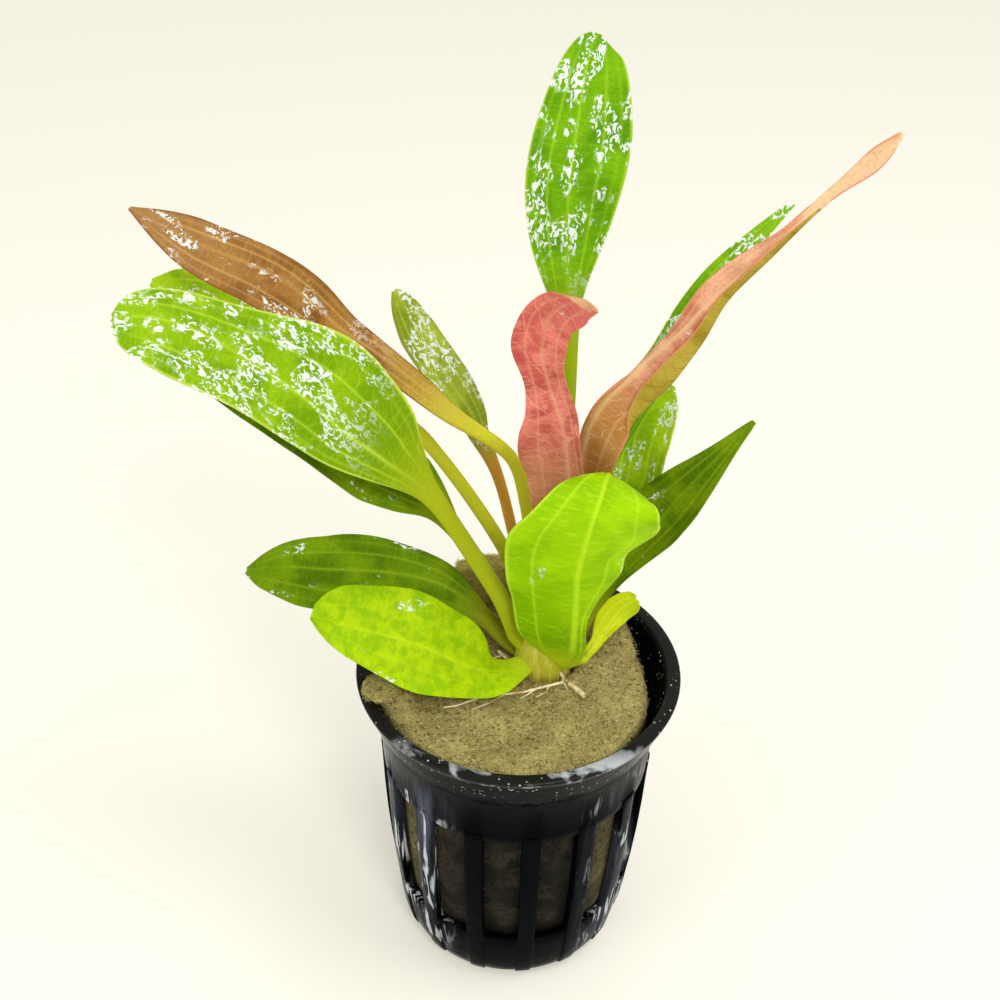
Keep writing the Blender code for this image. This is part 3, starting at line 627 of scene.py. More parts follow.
def build_crown():
    deselect_all()
    x, y = CROWN_CENTRE
    radius, height = CROWN_OUTLINE[0]
    bpy.ops.mesh.primitive_circle_add(vertices=CROWN_COLUMNS, radius=radius * MM, fill_type="NGON", location=(0, 0, 0))
    crown = bpy.context.object
    crown.name = "crown_sheaths"
    bpy.ops.object.mode_set(mode="EDIT")
    bpy.ops.mesh.select_mode(type="EDGE")
    bpy.ops.mesh.select_all(action="SELECT")
    bpy.ops.transform.translate(value=(0, 0, height * MM))
    for next_radius, next_height in CROWN_OUTLINE[1:]:
        bpy.ops.mesh.extrude_region_move(TRANSFORM_OT_translate={"value": (0, 0, (next_height - height) * MM)})
        grow = next_radius / radius
        bpy.ops.transform.resize(value=(grow, grow, 1), center_override=(0, 0, next_height * MM))
        radius, height = next_radius, next_height
    work = bmesh.from_edit_mesh(crown.data)
    for vert in work.verts:
        turn = math.atan2(vert.co.y, vert.co.x)
        rise = vert.co.z / MM
        groove = abs(math.sin(SHEATHS / 2 * turn + 0.05 * rise))
        depth = 0.88 + 0.12 * groove ** 0.5
        vert.co.x = vert.co.x * depth + x * MM
        vert.co.y = vert.co.y * depth + y * MM
    bmesh.update_edit_mesh(crown.data)
    bpy.ops.mesh.select_all(action="SELECT")
    bpy.ops.mesh.normals_make_consistent(inside=False)
    bpy.ops.object.mode_set(mode="OBJECT")
    smooth = crown.modifiers.new("smooth", "SUBSURF")
    smooth.levels = 1
    apply_modifiers(crown)
    make_active(crown)
    bpy.ops.object.shade_smooth()
    return crown


def crown_finish():
    finish = Finish("crown_tissue")
    height = finish.parts(finish.object_space)[2]
    lines = finish.noise(1.0, 3, finish.stretched((1400, 1400, 90)))
    sides = finish.noise(230, 3)
    base = finish.mix(finish.span(height, 0.0562, 0.0590), (0.26, 0.18, 0.035), (0.46, 0.44, 0.030))
    base = finish.mix(finish.span(sides, 0.40, 0.62, 0.0, 0.5), base, (0.34, 0.30, 0.012))
    base = finish.mix(finish.span(lines, 0.48, 0.62, 0.0, 0.55), base, (0.62, 0.60, 0.10))
    finish.set("Base Color", base)
    finish.set("Roughness", 0.42)
    finish.set("Specular IOR Level", 0.2)
    finish.set("Normal", finish.bump(lines, 0.0003, 0.5))
    return finish.material


crown = build_crown()
stand_for(crown, "crown")
crown.data.materials.append(crown_finish())

# %% [markdown]
# Roots are swept tubes. A curve with a round bevel follows each root, its
# points shrink towards the tip, and it is turned into a mesh at the end. Fine
# rootlets branch off, as they do where a plant has been pulled from a pot.

# %% Roots
ROOTS = {
    "root_main": [
        dict(route=[(7.0, -1.6, 57.9), (7.6, -2.6, 57.5), (7.4, -3.6, 57.4), (4.6, -4.8, 57.5), (0.8, -6.2, 57.4),
                    (-2.6, -7.0, 57.5), (-6.3, -7.7, 57.4), (-10.1, -9.8, 57.4), (-12.3, -10.2, 57.3)],
             radius=0.28, tip=0.45),
        dict(route=[(3.0, -5.4, 57.5), (1.6, -6.8, 57.5), (0.4, -7.6, 57.3)], radius=0.16, tip=0.4),
        dict(route=[(5.2, -4.6, 57.5), (4.6, -6.2, 57.6), (3.0, -7.4, 57.4)], radius=0.14, tip=0.4),
        dict(route=[(7.4, -3.4, 57.5), (7.9, -4.6, 57.6), (8.4, -5.6, 57.3)], radius=0.15, tip=0.4),
        dict(route=[(-2.4, -7.0, 57.5), (-4.6, -9.0, 57.5), (-7.6, -10.4, 57.2)], radius=0.11, tip=0.4),
    ],
    "root_white": [
        dict(route=[(8.6, -4.0, 57.5), (9.8, -5.4, 57.6), (11.0, -6.9, 57.5)], radius=0.48, tip=0.9),
    ],
    "root_left": [
        dict(route=[(0.4, 1.8, 57.6), (-1.2, 0.6, 57.7), (-1.9, 1.6, 57.6), (-3.4, 3.6, 57.6)], radius=0.4, tip=0.7),
        dict(route=[(-1.6, 0.8, 57.6), (-2.6, -0.6, 57.7), (-1.6, -1.8, 57.5)], radius=0.2, tip=0.5),
        dict(route=[(-3.0, 2.6, 57.5), (-4.4, 1.6, 57.7), (-4.2, 0.4, 57.5)], radius=0.16, tip=0.5),
    ],
}


def build_root(name, strands):
    deselect_all()
    path = bpy.data.curves.new(name, "CURVE")
    path.dimensions = "3D"
    path.bevel_depth = MM
    path.bevel_resolution = 3
    path.resolution_u = 10
    path.use_fill_caps = True
    for strand in strands:
        spline = path.splines.new("NURBS")
        spline.use_endpoint_u = True
        spline.order_u = 3
        spline.points.add(len(strand["route"]) - 1)
        last = len(strand["route"]) - 1
        for i, (point, place) in enumerate(zip(spline.points, strand["route"])):
            point.co = (*[c * MM for c in place], 1)
            point.radius = strand["radius"] * (1 + (strand["tip"] - 1) * i / last)
    root = bpy.data.objects.new(name + "_strands", path)
    bpy.context.collection.objects.link(root)
    make_active(root)
    bpy.ops.object.convert(target="MESH")
    bpy.ops.object.shade_smooth()
    return bpy.context.object


def root_finish():
    finish = Finish("root_pale")
    patches = finish.noise(380, 3)
    base = finish.mix(finish.span(patches, 0.40, 0.60), (0.52, 0.36, 0.13), (0.86, 0.78, 0.52))
    finish.set("Base Color", base)
    finish.set("Roughness", 0.5)
    finish.set("Specular IOR Level", 0.25)
    finish.set("Normal", finish.bump(finish.noise(1500, 2), 0.0003, 0.6))
    return finish.material


pale_root = root_finish()
for node, strands in ROOTS.items():
    root = build_root(node, strands)
    root.data.materials.append(pale_root)
    stand_for(root, node)

# %% [markdown]
# Every leaf has a midrib that runs from the crown to its tip. The midrib's
# points come first, in millimetres, then the directions that the upper face
# looks in, evenly spaced along it, and then the half widths to the left and
# right of the midrib at shares of the length. The stalk ends where the blade
# begins. Ripples are waves of the margin, and lift raises the margins. A fold
# turns part of a half back over the blade, so that its underside shows.

# %% Leaf measures
LEAVES = {
    "leaf_tall_back": dict(
        midrib=[(6.0, 8.5, 58.5), (6.3, 9.6, 74), (6.6, 10.5, 95), (6.4, 12, 114), (5.7, 13, 123),
                (5.2, 15, 133), (5.3, 16, 139), (6, 18, 145), (6.7, 20, 151), (7.6, 23, 155),
                (8.6, 25, 156.7)],
        facing=[(0, -1, 0.1), (0, -1, 0.1), (-0.1, -1, 0.35), (0, -1, 0.5)],
        margins=[(0, 1.3, 1.3), (0.3, 1.0, 1.0), (0.55, 1.2, 1.2), (0.6, 2.4, 1.7), (0.65, 4.2, 3.3),
                 (0.7, 5.6, 5.5), (0.75, 6.3, 7.1), (0.8, 6.5, 8.0), (0.85, 6.2, 8.2), (0.9, 5.2, 7.4),
                 (0.95, 3.8, 5.8), (0.98, 2.4, 4.2), (1, 0.5, 0.9)],
        lift=[(0, 0.1, 0.12)],
        stalk=0.55, ripple=0.25, waves=3, finish="mid green"),
    "leaf_red_centre": dict(
        midrib=[(4.0, 2.6, 65.7), (4.9, 3, 78), (6.2, 3, 88), (6.8, 2, 96), (5.4, 2, 105),
                (3.7, 2, 110.2), (2.3, 2, 115), (1.9, 1.5, 119), (2.4, 1, 123), (4.1, -1, 126.5),
                (6.6, -4, 128.9), (8.6, -7, 129.1)],
        facing=[(-0.2, -1, 0), (-0.2, -1, 0), (-0.3, -1, 0.1), (-0.3, -1, 0.2), (-0.2, -0.7, -0.6)],
        margins=[(0, 1.2, 1.2), (0.15, 1.3, 1.3), (0.28, 3.6, 3.2), (0.36, 5.8, 3.6), (0.43, 7.2, 3.0),
                 (0.5, 7.6, 2.6), (0.57, 6.2, 2.8), (0.64, 3.9, 3.1), (0.7, 3.6, 3.4), (0.76, 4.6, 3.9),
                 (0.82, 3.9, 4.1), (0.88, 3.0, 3.6), (0.94, 2.4, 3.0), (0.98, 1.6, 2.0), (1, 0.6, 0.6)],
        lift=[(0, 0.2, 0.5)],
        stalk=0.12, ripple=0.7, waves=4, veins=((0.6, 0.6),), finish="rose"),
    "leaf_red_twisted": dict(
        midrib=[(6.7, 3.4, 65.7), (8.0, 4.6, 81.1), (8.7, 4.2, 89.4), (8.9, 3.6, 96.3),
                (9.5, 3.0, 103.0), (11.8, 2.2, 109.3), (15.9, 1.0, 115.1), (18.6, 0.2, 119.1),
                (22.0, -0.6, 123.5), (24.9, -1.2, 128.1), (28.1, -2, 132.2), (32.8, -3, 138.2),
                (36.5, -4, 143.2), (39.9, -5, 147.2), (42.9, -6, 151.3), (45.5, -7, 154.9)],
        facing=[(-0.3, -1, 0), (-0.3, -1, 0), (-0.3, -1, 0), (-0.4, -1, 0.1), (-0.5, -1, 0.2),
                (-0.5, -1, 0.2), (-0.4, -1, 0.3), (-0.3, -1, 0.4), (-0.3, -1, 0.4), (-0.3, -1, 0.3),
                (-0.2, -1, 0.3)],
        margins=[(0, 1.1, 1.1), (0.14, 1.2, 1.4), (0.24, 1.1, 2.6), (0.31, 1.1, 4.9), (0.36, 1.3, 6.2),
                 (0.4, 1.3, 6.5), (0.45, 0.6, 5.2), (0.5, 0.5, 4.9), (0.55, 0.6, 5.1), (0.6, 1.1, 3.7),
                 (0.65, 2.1, 2.6), (0.7, 2.4, 1.5), (0.75, 1.9, 1.4), (0.8, 0.6, 1.1), (0.85, 0.5, 0.6),
                 (0.9, 0.8, 0.6), (0.95, 1.1, 1.6), (0.975, 1.0, 1.3), (1, 0.3, 0.3)],
        lift=[(0, 0.15, 0.2), (0.3, 0.15, 0.3), (0.42, 0.1, 0.1), (0.6, 0.2, 0.1), (0.72, 0.3, 0.1),
              (0.88, 0.1, 0.1), (1, 0.2, 0.2)],
        fold=[(0.42, 0, 0), (0.46, 0, 0.35), (0.5, 0, 0.6), (0.56, 0, 0.62), (0.61, 0, 0.55),
              (0.66, 0, 0.65), (0.75, 0, 0.8), (0.85, 0, 0.7), (0.9, 0, 0)],
        stalk=0.14, ripple=0.6, waves=5, veins=((0.55, 0.5),), finish="copper rose"),
    "leaf_green_behind_red": dict(
        midrib=[(8.2, 7.0, 61.4), (9.9, 10, 75), (12.6, 12, 90), (15.6, 13.5, 99), (20.6, 15, 108.7),
                (25.5, 17, 117.3), (31, 19, 124.3), (36.5, 21, 130), (39.8, 23, 132.3)],
        facing=[(-0.3, -1, 0.2), (-0.3, -1, 0.3), (-0.4, -0.8, 0.5)],
        margins=[(0, 1.2, 1.2), (0.28, 1.0, 1.0), (0.35, 3.2, 1.8), (0.42, 4.4, 2.6), (0.5, 4.2, 3.0),
                 (0.56, 2.9, 3.0), (0.62, 2.1, 3.0), (0.72, 2.3, 3.0), (0.8, 2.5, 2.8),
                 (0.87, 1.9, 2.0), (0.93, 1.2, 1.2), (0.97, 0.7, 0.7), (1, 0.3, 0.3)],
        lift=[(0, 0.15, 0.15)],
        stalk=0.3, ripple=0.3, waves=3, finish="mid green"),
    "leaf_short_behind": dict(
        midrib=[(9.5, 6.7, 57.8), (12.6, 12, 71.4), (15.6, 14.2, 80.6), (17.6, 15, 87), (18.2, 16, 93),
                (20.1, 18, 97.6), (23.7, 20, 101.8)],
        facing=[(-0.3, -1, 0.3), (-0.3, -1, 0.4), (-0.3, -0.8, 0.6)],
        margins=[(0, 1.2, 1.2), (0.28, 1.1, 1.1), (0.42, 3.0, 3.0), (0.56, 3.8, 4.6), (0.68, 3.4, 5.4),
                 (0.8, 2.6, 5.8), (0.9, 2.0, 5.2), (0.96, 1.4, 3.6), (1, 0.5, 0.8)],
        lift=[(0, 0.4, 0.15)],
        stalk=0.3, ripple=0.4, waves=3, finish="lime streaked"),
    "leaf_dark_right": dict(
        midrib=[(10.0, 4.8, 58.8), (12.0, 6.1, 65), (15.0, 6.7, 71), (18.6, 7.2, 77), (23, 7.7, 84),
                (28.6, 8.2, 92.4), (36, 10, 101.2)],
        facing=[(-0.5, -0.8, 0.4), (-0.5, -0.7, 0.5), (-0.5, -0.6, 0.6)],
        margins=[(0, 1.1, 1.1), (0.12, 1.3, 1.2), (0.22, 2.2, 1.6), (0.32, 4.2, 2.2), (0.44, 5.9, 3.4),
                 (0.54, 6.2, 4.6), (0.65, 5.0, 4.8), (0.78, 3.1, 3.2), (0.9, 1.6, 1.8), (1, 0.3, 0.3)],
        lift=[(0, 0.2, 0.25)],
        stalk=0.14, ripple=0.35, waves=3, finish="deep green"),
    "leaf_front": dict(
        midrib=[(7.8, -1.6, 59.6), (8.5, -2.9, 63), (8.7, -4.4, 67), (8.6, -6, 75), (8.4, -8, 84),
                (9, -9.3, 90), (9.9, -9.4, 95), (11, -8, 98.4), (11.9, -5, 99.6), (12.6, -1.6, 98.4)],
        facing=[(0.1, 1, 0.1), (0.1, 1, 0.2), (0, 1, 0.2), (-0.1, 1, 0.3), (-0.1, 0.4, -1)],
        margins=[(0, 1.6, 1.4), (0.05, 2.2, 6.0), (0.1, 2.2, 8.4), (0.18, 2.0, 9.5), (0.24, 1.8, 10.0),
                 (0.3, 2.0, 10.3), (0.36, 3.2, 10.6), (0.44, 5.8, 10.9), (0.5, 7.2, 11.1),
                 (0.56, 7.2, 11.3), (0.61, 6.8, 11.4), (0.625, 8.4, 11.4), (0.64, 12.0, 11.4),
                 (0.7, 12.7, 10.9), (0.76, 11.7, 9.4), (0.82, 11.0, 7.4), (0.88, 9.6, 5.2),
                 (0.93, 7.8, 3.4), (0.97, 5.6, 2.2), (1, 1.6, 1.0)],
        lift=[(0, 0.3, 0.2), (0.7, 0.3, 0.2), (0.8, 0.14, 0.2), (0.88, 0.0, 0.2), (1, 0.0, 0.2)],
        stalk=0.02, ripple=0.5, waves=3, veins=((0.62, 1.0),), finish="bright underside"),
    "leaf_low_left": dict(
        midrib=[(1.8, -0.3, 59.0), (-1.6, -3.2, 59.2), (-5, -5, 60.4), (-10.5, -5.5, 63.2),
                (-16.6, -5.5, 66.5), (-22.6, -5.5, 68.6), (-28.5, -5.5, 70.2), (-33.7, -5.5, 72.2)],
        facing=[(0, -0.2, 1), (0.1, -0.5, 1), (0.2, -0.6, 1), (0.3, -0.6, 1)],
        margins=[(0, 1.8, 1.8), (0.1, 2.6, 2.4), (0.17, 4.0, 3.6), (0.26, 5.0, 6.0), (0.36, 6.4, 7.8),
                 (0.48, 7.8, 8.4), (0.6, 7.6, 8.8), (0.72, 6.5, 8.3), (0.84, 4.6, 7.4),
                 (0.92, 3.1, 6.2), (0.97, 1.8, 4.4), (1, 0.6, 2.0)],
        lift=[(0, 0.05, 0.08)],
        stalk=0.05, ripple=0.4, waves=3, veins=((0.5, 0.5),), finish="lime"),
    "leaf_dark_left": dict(
        midrib=[(0.5, 3.6, 57.6), (-2.4, 4.2, 60), (-5.6, 5, 63.6), (-9.4, 6, 67), (-14.8, 7, 69.8),
                (-23.3, 8, 70.8), (-33.2, 9, 70.3), (-39.7, 10, 69.8), (-47, 11, 68.2)],
        facing=[(0.3, -0.3, 1), (0.3, -0.5, 1), (0.1, -0.5, 1), (-0.1, -0.5, 1)],
        margins=[(0, 1.5, 1.5), (0.16, 1.8, 1.6), (0.24, 3.4, 2.2), (0.34, 5.6, 3.8), (0.46, 7.6, 5.4),
                 (0.58, 8.4, 6.2), (0.7, 8.2, 6.5), (0.8, 7.2, 5.8), (0.88, 5.6, 4.2), (0.95, 3.6, 2.4),
                 (1, 0.8, 0.6)],
        lift=[(0, 0.1, 0.12)],
        stalk=0.18, ripple=0.4, waves=3, finish="deep green"),
    "leaf_broad_left": dict(
        midrib=[(-0.2, 1.6, 61.4), (-1.6, 0.9, 67), (-3.8, 0, 73.5), (-8, -0.8, 82), (-14.3, -2.6, 94),
                (-21.2, -4, 101.5), (-26.8, -5.5, 107.3), (-31.6, -7, 113.5), (-38.3, -9, 120.5),
                (-45, -11, 126.4), (-50.5, -12, 129), (-56.1, -12, 129)],
        facing=[(0.5, -0.8, 0.4), (0.4, -0.8, 0.5), (0.4, -0.7, 0.6), (0.2, -0.6, 0.8)],
        margins=[(0, 1.6, 1.5), (0.2, 1.5, 1.4), (0.36, 1.3, 1.4), (0.41, 1.6, 2.4), (0.45, 2.4, 5.0),
                 (0.5, 3.8, 8.4), (0.55, 4.9, 10.6), (0.6, 5.8, 11.4), (0.66, 6.5, 11.2),
                 (0.72, 6.9, 9.8), (0.79, 7.2, 7.4), (0.86, 7.6, 5.4), (0.91, 7.6, 4.4),
                 (0.95, 6.8, 3.8), (0.98, 5.0, 3.0), (0.993, 3.2, 2.0), (1, 0.8, 0.5)],
        lift=[(0, 0.05, 0.14)],
        stalk=0.38, ripple=0.5, waves=4, finish="lime glossy"),
    "leaf_upper_left": dict(
        midrib=[(1.9, 7.0, 62.4), (-0.6, 8.4, 70), (-3.8, 9, 77.4), (-10.0, 12, 86.1),
                (-16.1, 15, 92.9), (-19.6, 17.5, 94.6), (-28.4, 22, 101.5), (-40.0, 25.5, 107.4),
                (-51.2, 27.5, 111.4), (-61.7, 29, 113.4)],
        facing=[(0.5, -0.8, 0.4), (0.5, -0.8, 0.5), (0.4, -0.7, 0.6), (0.3, -0.6, 0.8)],
        margins=[(0, 1.2, 1.2), (0.44, 1.1, 1.1), (0.53, 2.6, 2.6), (0.62, 4.6, 4.2), (0.72, 5.6, 5.0),
                 (0.84, 5.4, 5.2), (0.92, 4.4, 4.6), (0.97, 2.8, 3.0), (1, 0.8, 0.8)],
        lift=[(0, 0.1, 0.1)],
        stalk=0.46, ripple=0.4, waves=3, finish="lime streaked"),
    "leaf_under_left": dict(
        midrib=[(0.0, 5.2, 60.2), (-2.2, 4.8, 66), (-5.4, 3.9, 74), (-10.4, 2.8, 83), (-15, 1.8, 90.5),
                (-21.8, 0.6, 97), (-30.5, -0.6, 104.5), (-38.9, -1.8, 110), (-48.4, -2.4, 113.8)],
        facing=[(0.5, -0.8, 0.4), (0.4, -0.8, 0.5), (0.4, -0.7, 0.6), (0.3, -0.6, 0.8)],
        margins=[(0, 1.2, 1.2), (0.34, 1.1, 1.1), (0.42, 2.0, 2.6), (0.5, 4.6, 5.2), (0.6, 6.4, 6.4),
                 (0.7, 6.2, 6.4), (0.8, 5.2, 5.4), (0.9, 3.6, 3.8), (0.96, 2.0, 2.0), (1, 0.5, 0.5)],
        lift=[(0, 0.1, 0.1)],
        stalk=0.36, ripple=0.4, waves=3, finish="deep green"),
    "leaf_brown": dict(
        midrib=[(3.4, 8.9, 60.2), (2.2, 11, 73), (0.2, 12.4, 84.5), (-1.4, 13, 90), (-3.8, 13.4, 93),
                (-8, 14, 96), (-12, 15, 98.6), (-16.3, 16, 102), (-20.8, 16.4, 105.7),
                (-25.4, 17.2, 108.9), (-29.8, 17.8, 111.9), (-35.6, 18.8, 117.2), (-41.7, 19.8, 120.8),
                (-51.5, 21.2, 124.2), (-61.7, 22.6, 129.2)],
        facing=[(0.2, -1, 0.1), (0.4, -0.9, 0.3), (0.6, -0.6, 0.6), (0.5, -0.6, 0.7), (0.3, -0.6, 0.8),
                (0.2, -0.6, 0.8)],
        margins=[(0, 1.2, 1.2), (0.36, 1.1, 1.1), (0.42, 2.0, 1.2), (0.5, 3.2, 1.6), (0.57, 3.2, 2.3),
                 (0.64, 4.2, 3.0), (0.7, 6.4, 3.4), (0.75, 7.2, 3.6), (0.8, 6.8, 3.8), (0.85, 5.9, 3.9),
                 (0.9, 4.8, 3.6), (0.94, 3.4, 2.6), (0.98, 1.5, 1.2), (1, 0.3, 0.3)],
        lift=[(0, 0.15, 0.3)],
        stalk=0.37, ripple=0.4, waves=4, finish="copper"),
    "leaf_narrow": dict(
        midrib=[(1.2, 7.8, 57.3), (0.4, 12, 67), (-2.0, 15, 77), (-3.8, 17, 83.4), (-5.6, 18.4, 88),
                (-7.5, 19.6, 91.6), (-9, 20.6, 95.2), (-11.8, 22, 99), (-14.6, 23.4, 102.8),
                (-17.6, 25, 107.4), (-20.6, 26.6, 112.6), (-21.8, 27.4, 113.8)],
        facing=[(0.3, -1, 0.1), (0.4, -0.9, 0.3), (0.4, -0.9, 0.4), (0.3, -0.9, 0.5)],
        margins=[(0, 1.0, 1.0), (0.46, 0.9, 0.9), (0.54, 1.6, 1.2), (0.62, 2.5, 2.3), (0.72, 3.1, 3.3),
                 (0.8, 3.5, 3.4), (0.88, 3.6, 2.9), (0.95, 2.7, 2.0), (0.98, 1.8, 1.3), (1, 0.4, 0.4)],
        lift=[(0, 0.2, 0.25)],
        stalk=0.48, ripple=0.35, waves=4, finish="olive"),
    "leaf_yellow": dict(
        midrib=[(10.6, 0.0, 58.7), (12.6, 1.8, 60.9), (14.8, 4.5, 62.2), (17.4, 8.1, 63.4),
                (20.4, 11.0, 63.7)],
        facing=[(0, -0.5, 1), (0, -0.6, 1), (0.1, -0.6, 1)],
        margins=[(0, 0.8, 0.8), (0.2, 0.8, 0.9), (0.3, 1.2, 1.0), (0.45, 2.5, 1.3), (0.65, 3.2, 1.8),
                 (0.85, 2.6, 2.1), (0.95, 1.7, 1.6), (1, 0.6, 0.6)],
        lift=[(0, 0.3, 0.1)],
        stalk=0.05, ripple=0.5, waves=2, veins=((0.5, 0.6),), finish="yellow"),
}
BLANK_COLUMNS = 16
STALK_ROWS = 8
BLADE_ROWS = 24
TIP_CROWDING = 1.35

# %% [markdown]
# The leaf starts as a flat grid, like a leaf pressed in a book. Each row of
# the grid moves to its share of the length, and its two halves are resized
# on their own, because most of these blades are wider on one side of the
# midrib. A subdivision surface then makes the outline smooth.

# %% Flat leaf blanks
def pair_at(keys, share):
    """Read a left and a right value at shares of the length."""
    shares = [key[0] for key in keys]
    return [np.interp(share, shares, [key[side] for key in keys]) for side in (1, 2)]


def row_shares(leaf):
    """Rows of the grid, closer together towards the rounded tip."""
    stalk = np.linspace(0, leaf["stalk"], STALK_ROWS + 1)[:-1]
    steps = np.linspace(0, 1, BLADE_ROWS + 1)
    blade = leaf["stalk"] + (1 - leaf["stalk"]) * (1 - (1 - steps) ** TIP_CROWDING)
    return [float(share) for share in np.concatenate([stalk, blade])]


def leaf_blank(name, leaf):
    deselect_all()
    shares = row_shares(leaf)
    rows = len(shares) - 1
    bpy.ops.mesh.primitive_grid_add(x_subdivisions=BLANK_COLUMNS, y_subdivisions=rows, size=2, location=(0, 0, 0))
    blank = bpy.context.object
    blank.name = name + "_blade"
    bpy.ops.object.mode_set(mode="EDIT")
    bpy.ops.mesh.select_mode(type="VERT")
    work = bmesh.from_edit_mesh(blank.data)
    lines = [[] for _ in shares]
    for vert in work.verts:
        lines[round((vert.co.y + 1) / 2 * rows)].append(vert)
    for row, (share, line) in enumerate(zip(shares, lines)):
        left, right = pair_at(leaf["margins"], share)
        here = 2 * row / rows - 1
        there = 2 * share - 1
        select_verts(work, line)
        bpy.ops.transform.translate(value=(0, there - here, 0))
        for half_width, side in ((left, -1), (right, 1)):
            select_verts(work, [vert for vert in line if vert.co.x * side > 1e-9])
            bpy.ops.transform.resize(value=(float(half_width) * MM, 1, 1), center_override=(0, there, 0))
    bpy.ops.object.mode_set(mode="OBJECT")
    smooth = blank.modifiers.new("smooth", "SUBSURF")
    smooth.levels = 2
    smooth.render_levels = 2
    smooth.boundary_smooth = "PRESERVE_CORNERS"
    apply_modifiers(blank)
    return blank


# %% [markdown]
# A Curve modifier could bend the blank, but the tilt of every point would
# have to be found by trial. The direction that each leaf looks in is known,
# so the blank's vertices are placed along the midrib directly: across the
# leaf by their x, and above or below it by the relief of the veins. The foot
# of the stalk is pulled into the crown, where its end is out of sight.

# %% Laying a leaf along its midrib
SPINE_POINTS = 400
VEIN_PLACES = ((0.50, 1.0), (0.80, 0.45))
MIDRIB_WIDTH = 0.42
VEIN_WIDTH = 0.2
FOLD_RADIUS = 0.34
FOOT_SHARE = 0.03


def smooth_line(points, count):
    """A smooth curve through the points, read at evenly spaced parameters."""
    points = np.array(points, float)
    last = len(points) - 1
    place = np.linspace(0, last, count)
    i = np.minimum(place.astype(int), last - 1)
    t = (place - i)[:, None]
    before = points[np.maximum(i - 1, 0)]
    here = points[i]
    there = points[i + 1]
    after = points[np.minimum(i + 2, last)]
    leave = (there - before) / 2
    arrive = (after - here) / 2
    return (here * (2 * t**3 - 3 * t**2 + 1) + leave * (t**3 - 2 * t**2 + t)
            + there * (3 * t**2 - 2 * t**3) + arrive * (t**3 - t**2))


def unit(vectors):
    return vectors / np.linalg.norm(vectors, axis=1)[:, None]


def leaf_spine(leaf):
    """Centres, side and upward directions at even steps along the midrib."""
    line = smooth_line(leaf["midrib"], 4 * SPINE_POINTS)
    steps = np.linalg.norm(np.diff(line, axis=0), axis=1)
    lengths = np.concatenate([[0], np.cumsum(steps)])
    wanted = np.linspace(0, lengths[-1], SPINE_POINTS)
    centre = np.stack([np.interp(wanted, lengths, line[:, k]) for k in range(3)], 1)
    tangent = unit(np.gradient(centre, axis=0))
    look = smooth_line(unit(np.array(leaf["facing"], float)), SPINE_POINTS)
    up = unit(look - (look * tangent).sum(1)[:, None] * tangent)
    side = np.cross(tangent, up)
    return centre, side, up, float(lengths[-1])


def hump(distance, width):
    return np.exp(-(distance / width) ** 2)


def blank_places(blank):
    """Share along, place across from -1 to 1, and distance from the midrib, of each vertex."""
    mesh = blank.data
    spots = np.empty(len(mesh.vertices) * 3, np.float32)
    mesh.vertices.foreach_get("co", spots)
    spots = spots.reshape(-1, 3)
    corners = np.empty(len(mesh.loops), np.int32)
    mesh.loops.foreach_get("vertex_index", corners)
    corner_uvs = np.empty(len(mesh.loops) * 2, np.float32)
    mesh.uv_layers.active.data.foreach_get("uv", corner_uvs)
    across = np.zeros(len(spots))
    across[corners] = corner_uvs.reshape(-1, 2)[:, 0] * 2 - 1
    share = np.clip((spots[:, 1] + 1) / 2, 0, 1)
    return share, np.clip(across, -1, 1), spots[:, 0] / MM


def leaf_relief(leaf, share, across, x, length):
    """Height of the blade above its midrib line, and how much of a vein each point is."""
    blade = np.clip((share - leaf["stalk"]) / 0.12, 0, 1)
    half = np.abs(x) / np.maximum(np.abs(across), 0.05)
    left_lift, right_lift = pair_at(leaf["lift"], share)
    lift = np.where(across < 0, left_lift, right_lift)
    y = share * length
    height = lift * half * across**2 * blade
    fade = blade * np.clip((1 - share) / 0.08, 0, 1)
    laterals = sum(depth * hump((np.abs(across) - place) * half, VEIN_WIDTH)
                   for place, depth in leaf.get("veins", VEIN_PLACES)) * fade
    midrib = hump(x, MIDRIB_WIDTH * (1.25 - 0.7 * share)) * blade
    phase = np.where(across < 0, 0.0, 1.7)
    wave = np.sin(math.tau * leaf["waves"] * share + phase + 2.0 * share * share)
    height += leaf["ripple"] * wave * np.abs(across) ** 3 * blade
    quilt = np.sin(math.tau * y / 1.7 + 1.4 * np.sin(0.9 * x)) * np.sin(np.pi * np.abs(across) / 0.34) ** 2
    height += 0.016 * quilt * fade
    height -= 0.20 * midrib + 0.08 * laterals
    return height, np.maximum(midrib, 0.75 * laterals), blade


def fold_over(leaf, share, across, x, height):
    """Turn the outer part of the right half back over the blade, where the leaf has a fold."""
    turned = np.maximum(pair_at(leaf["fold"], share)[1], 0) * (across > 0)
    reach = np.abs(x) / np.maximum(np.abs(across), 0.05)
    run = np.abs(across) * reach * (1 + turned)
    crease = np.maximum(reach - FOLD_RADIUS * math.pi / 2, reach * 0.5)
    around = np.clip((run - crease) / FOLD_RADIUS, 0, math.pi) * (turned > 0.01)
    beyond = np.maximum(run - crease - FOLD_RADIUS * math.pi, 0) * (turned > 0.01)
    flat = np.where(turned > 0.01, np.minimum(run, crease), np.abs(x))
    x = np.sign(across) * (flat + FOLD_RADIUS * np.sin(around) - beyond)
    height = height + FOLD_RADIUS * (1 - np.cos(around)) + 0.12 * beyond
    return x, height


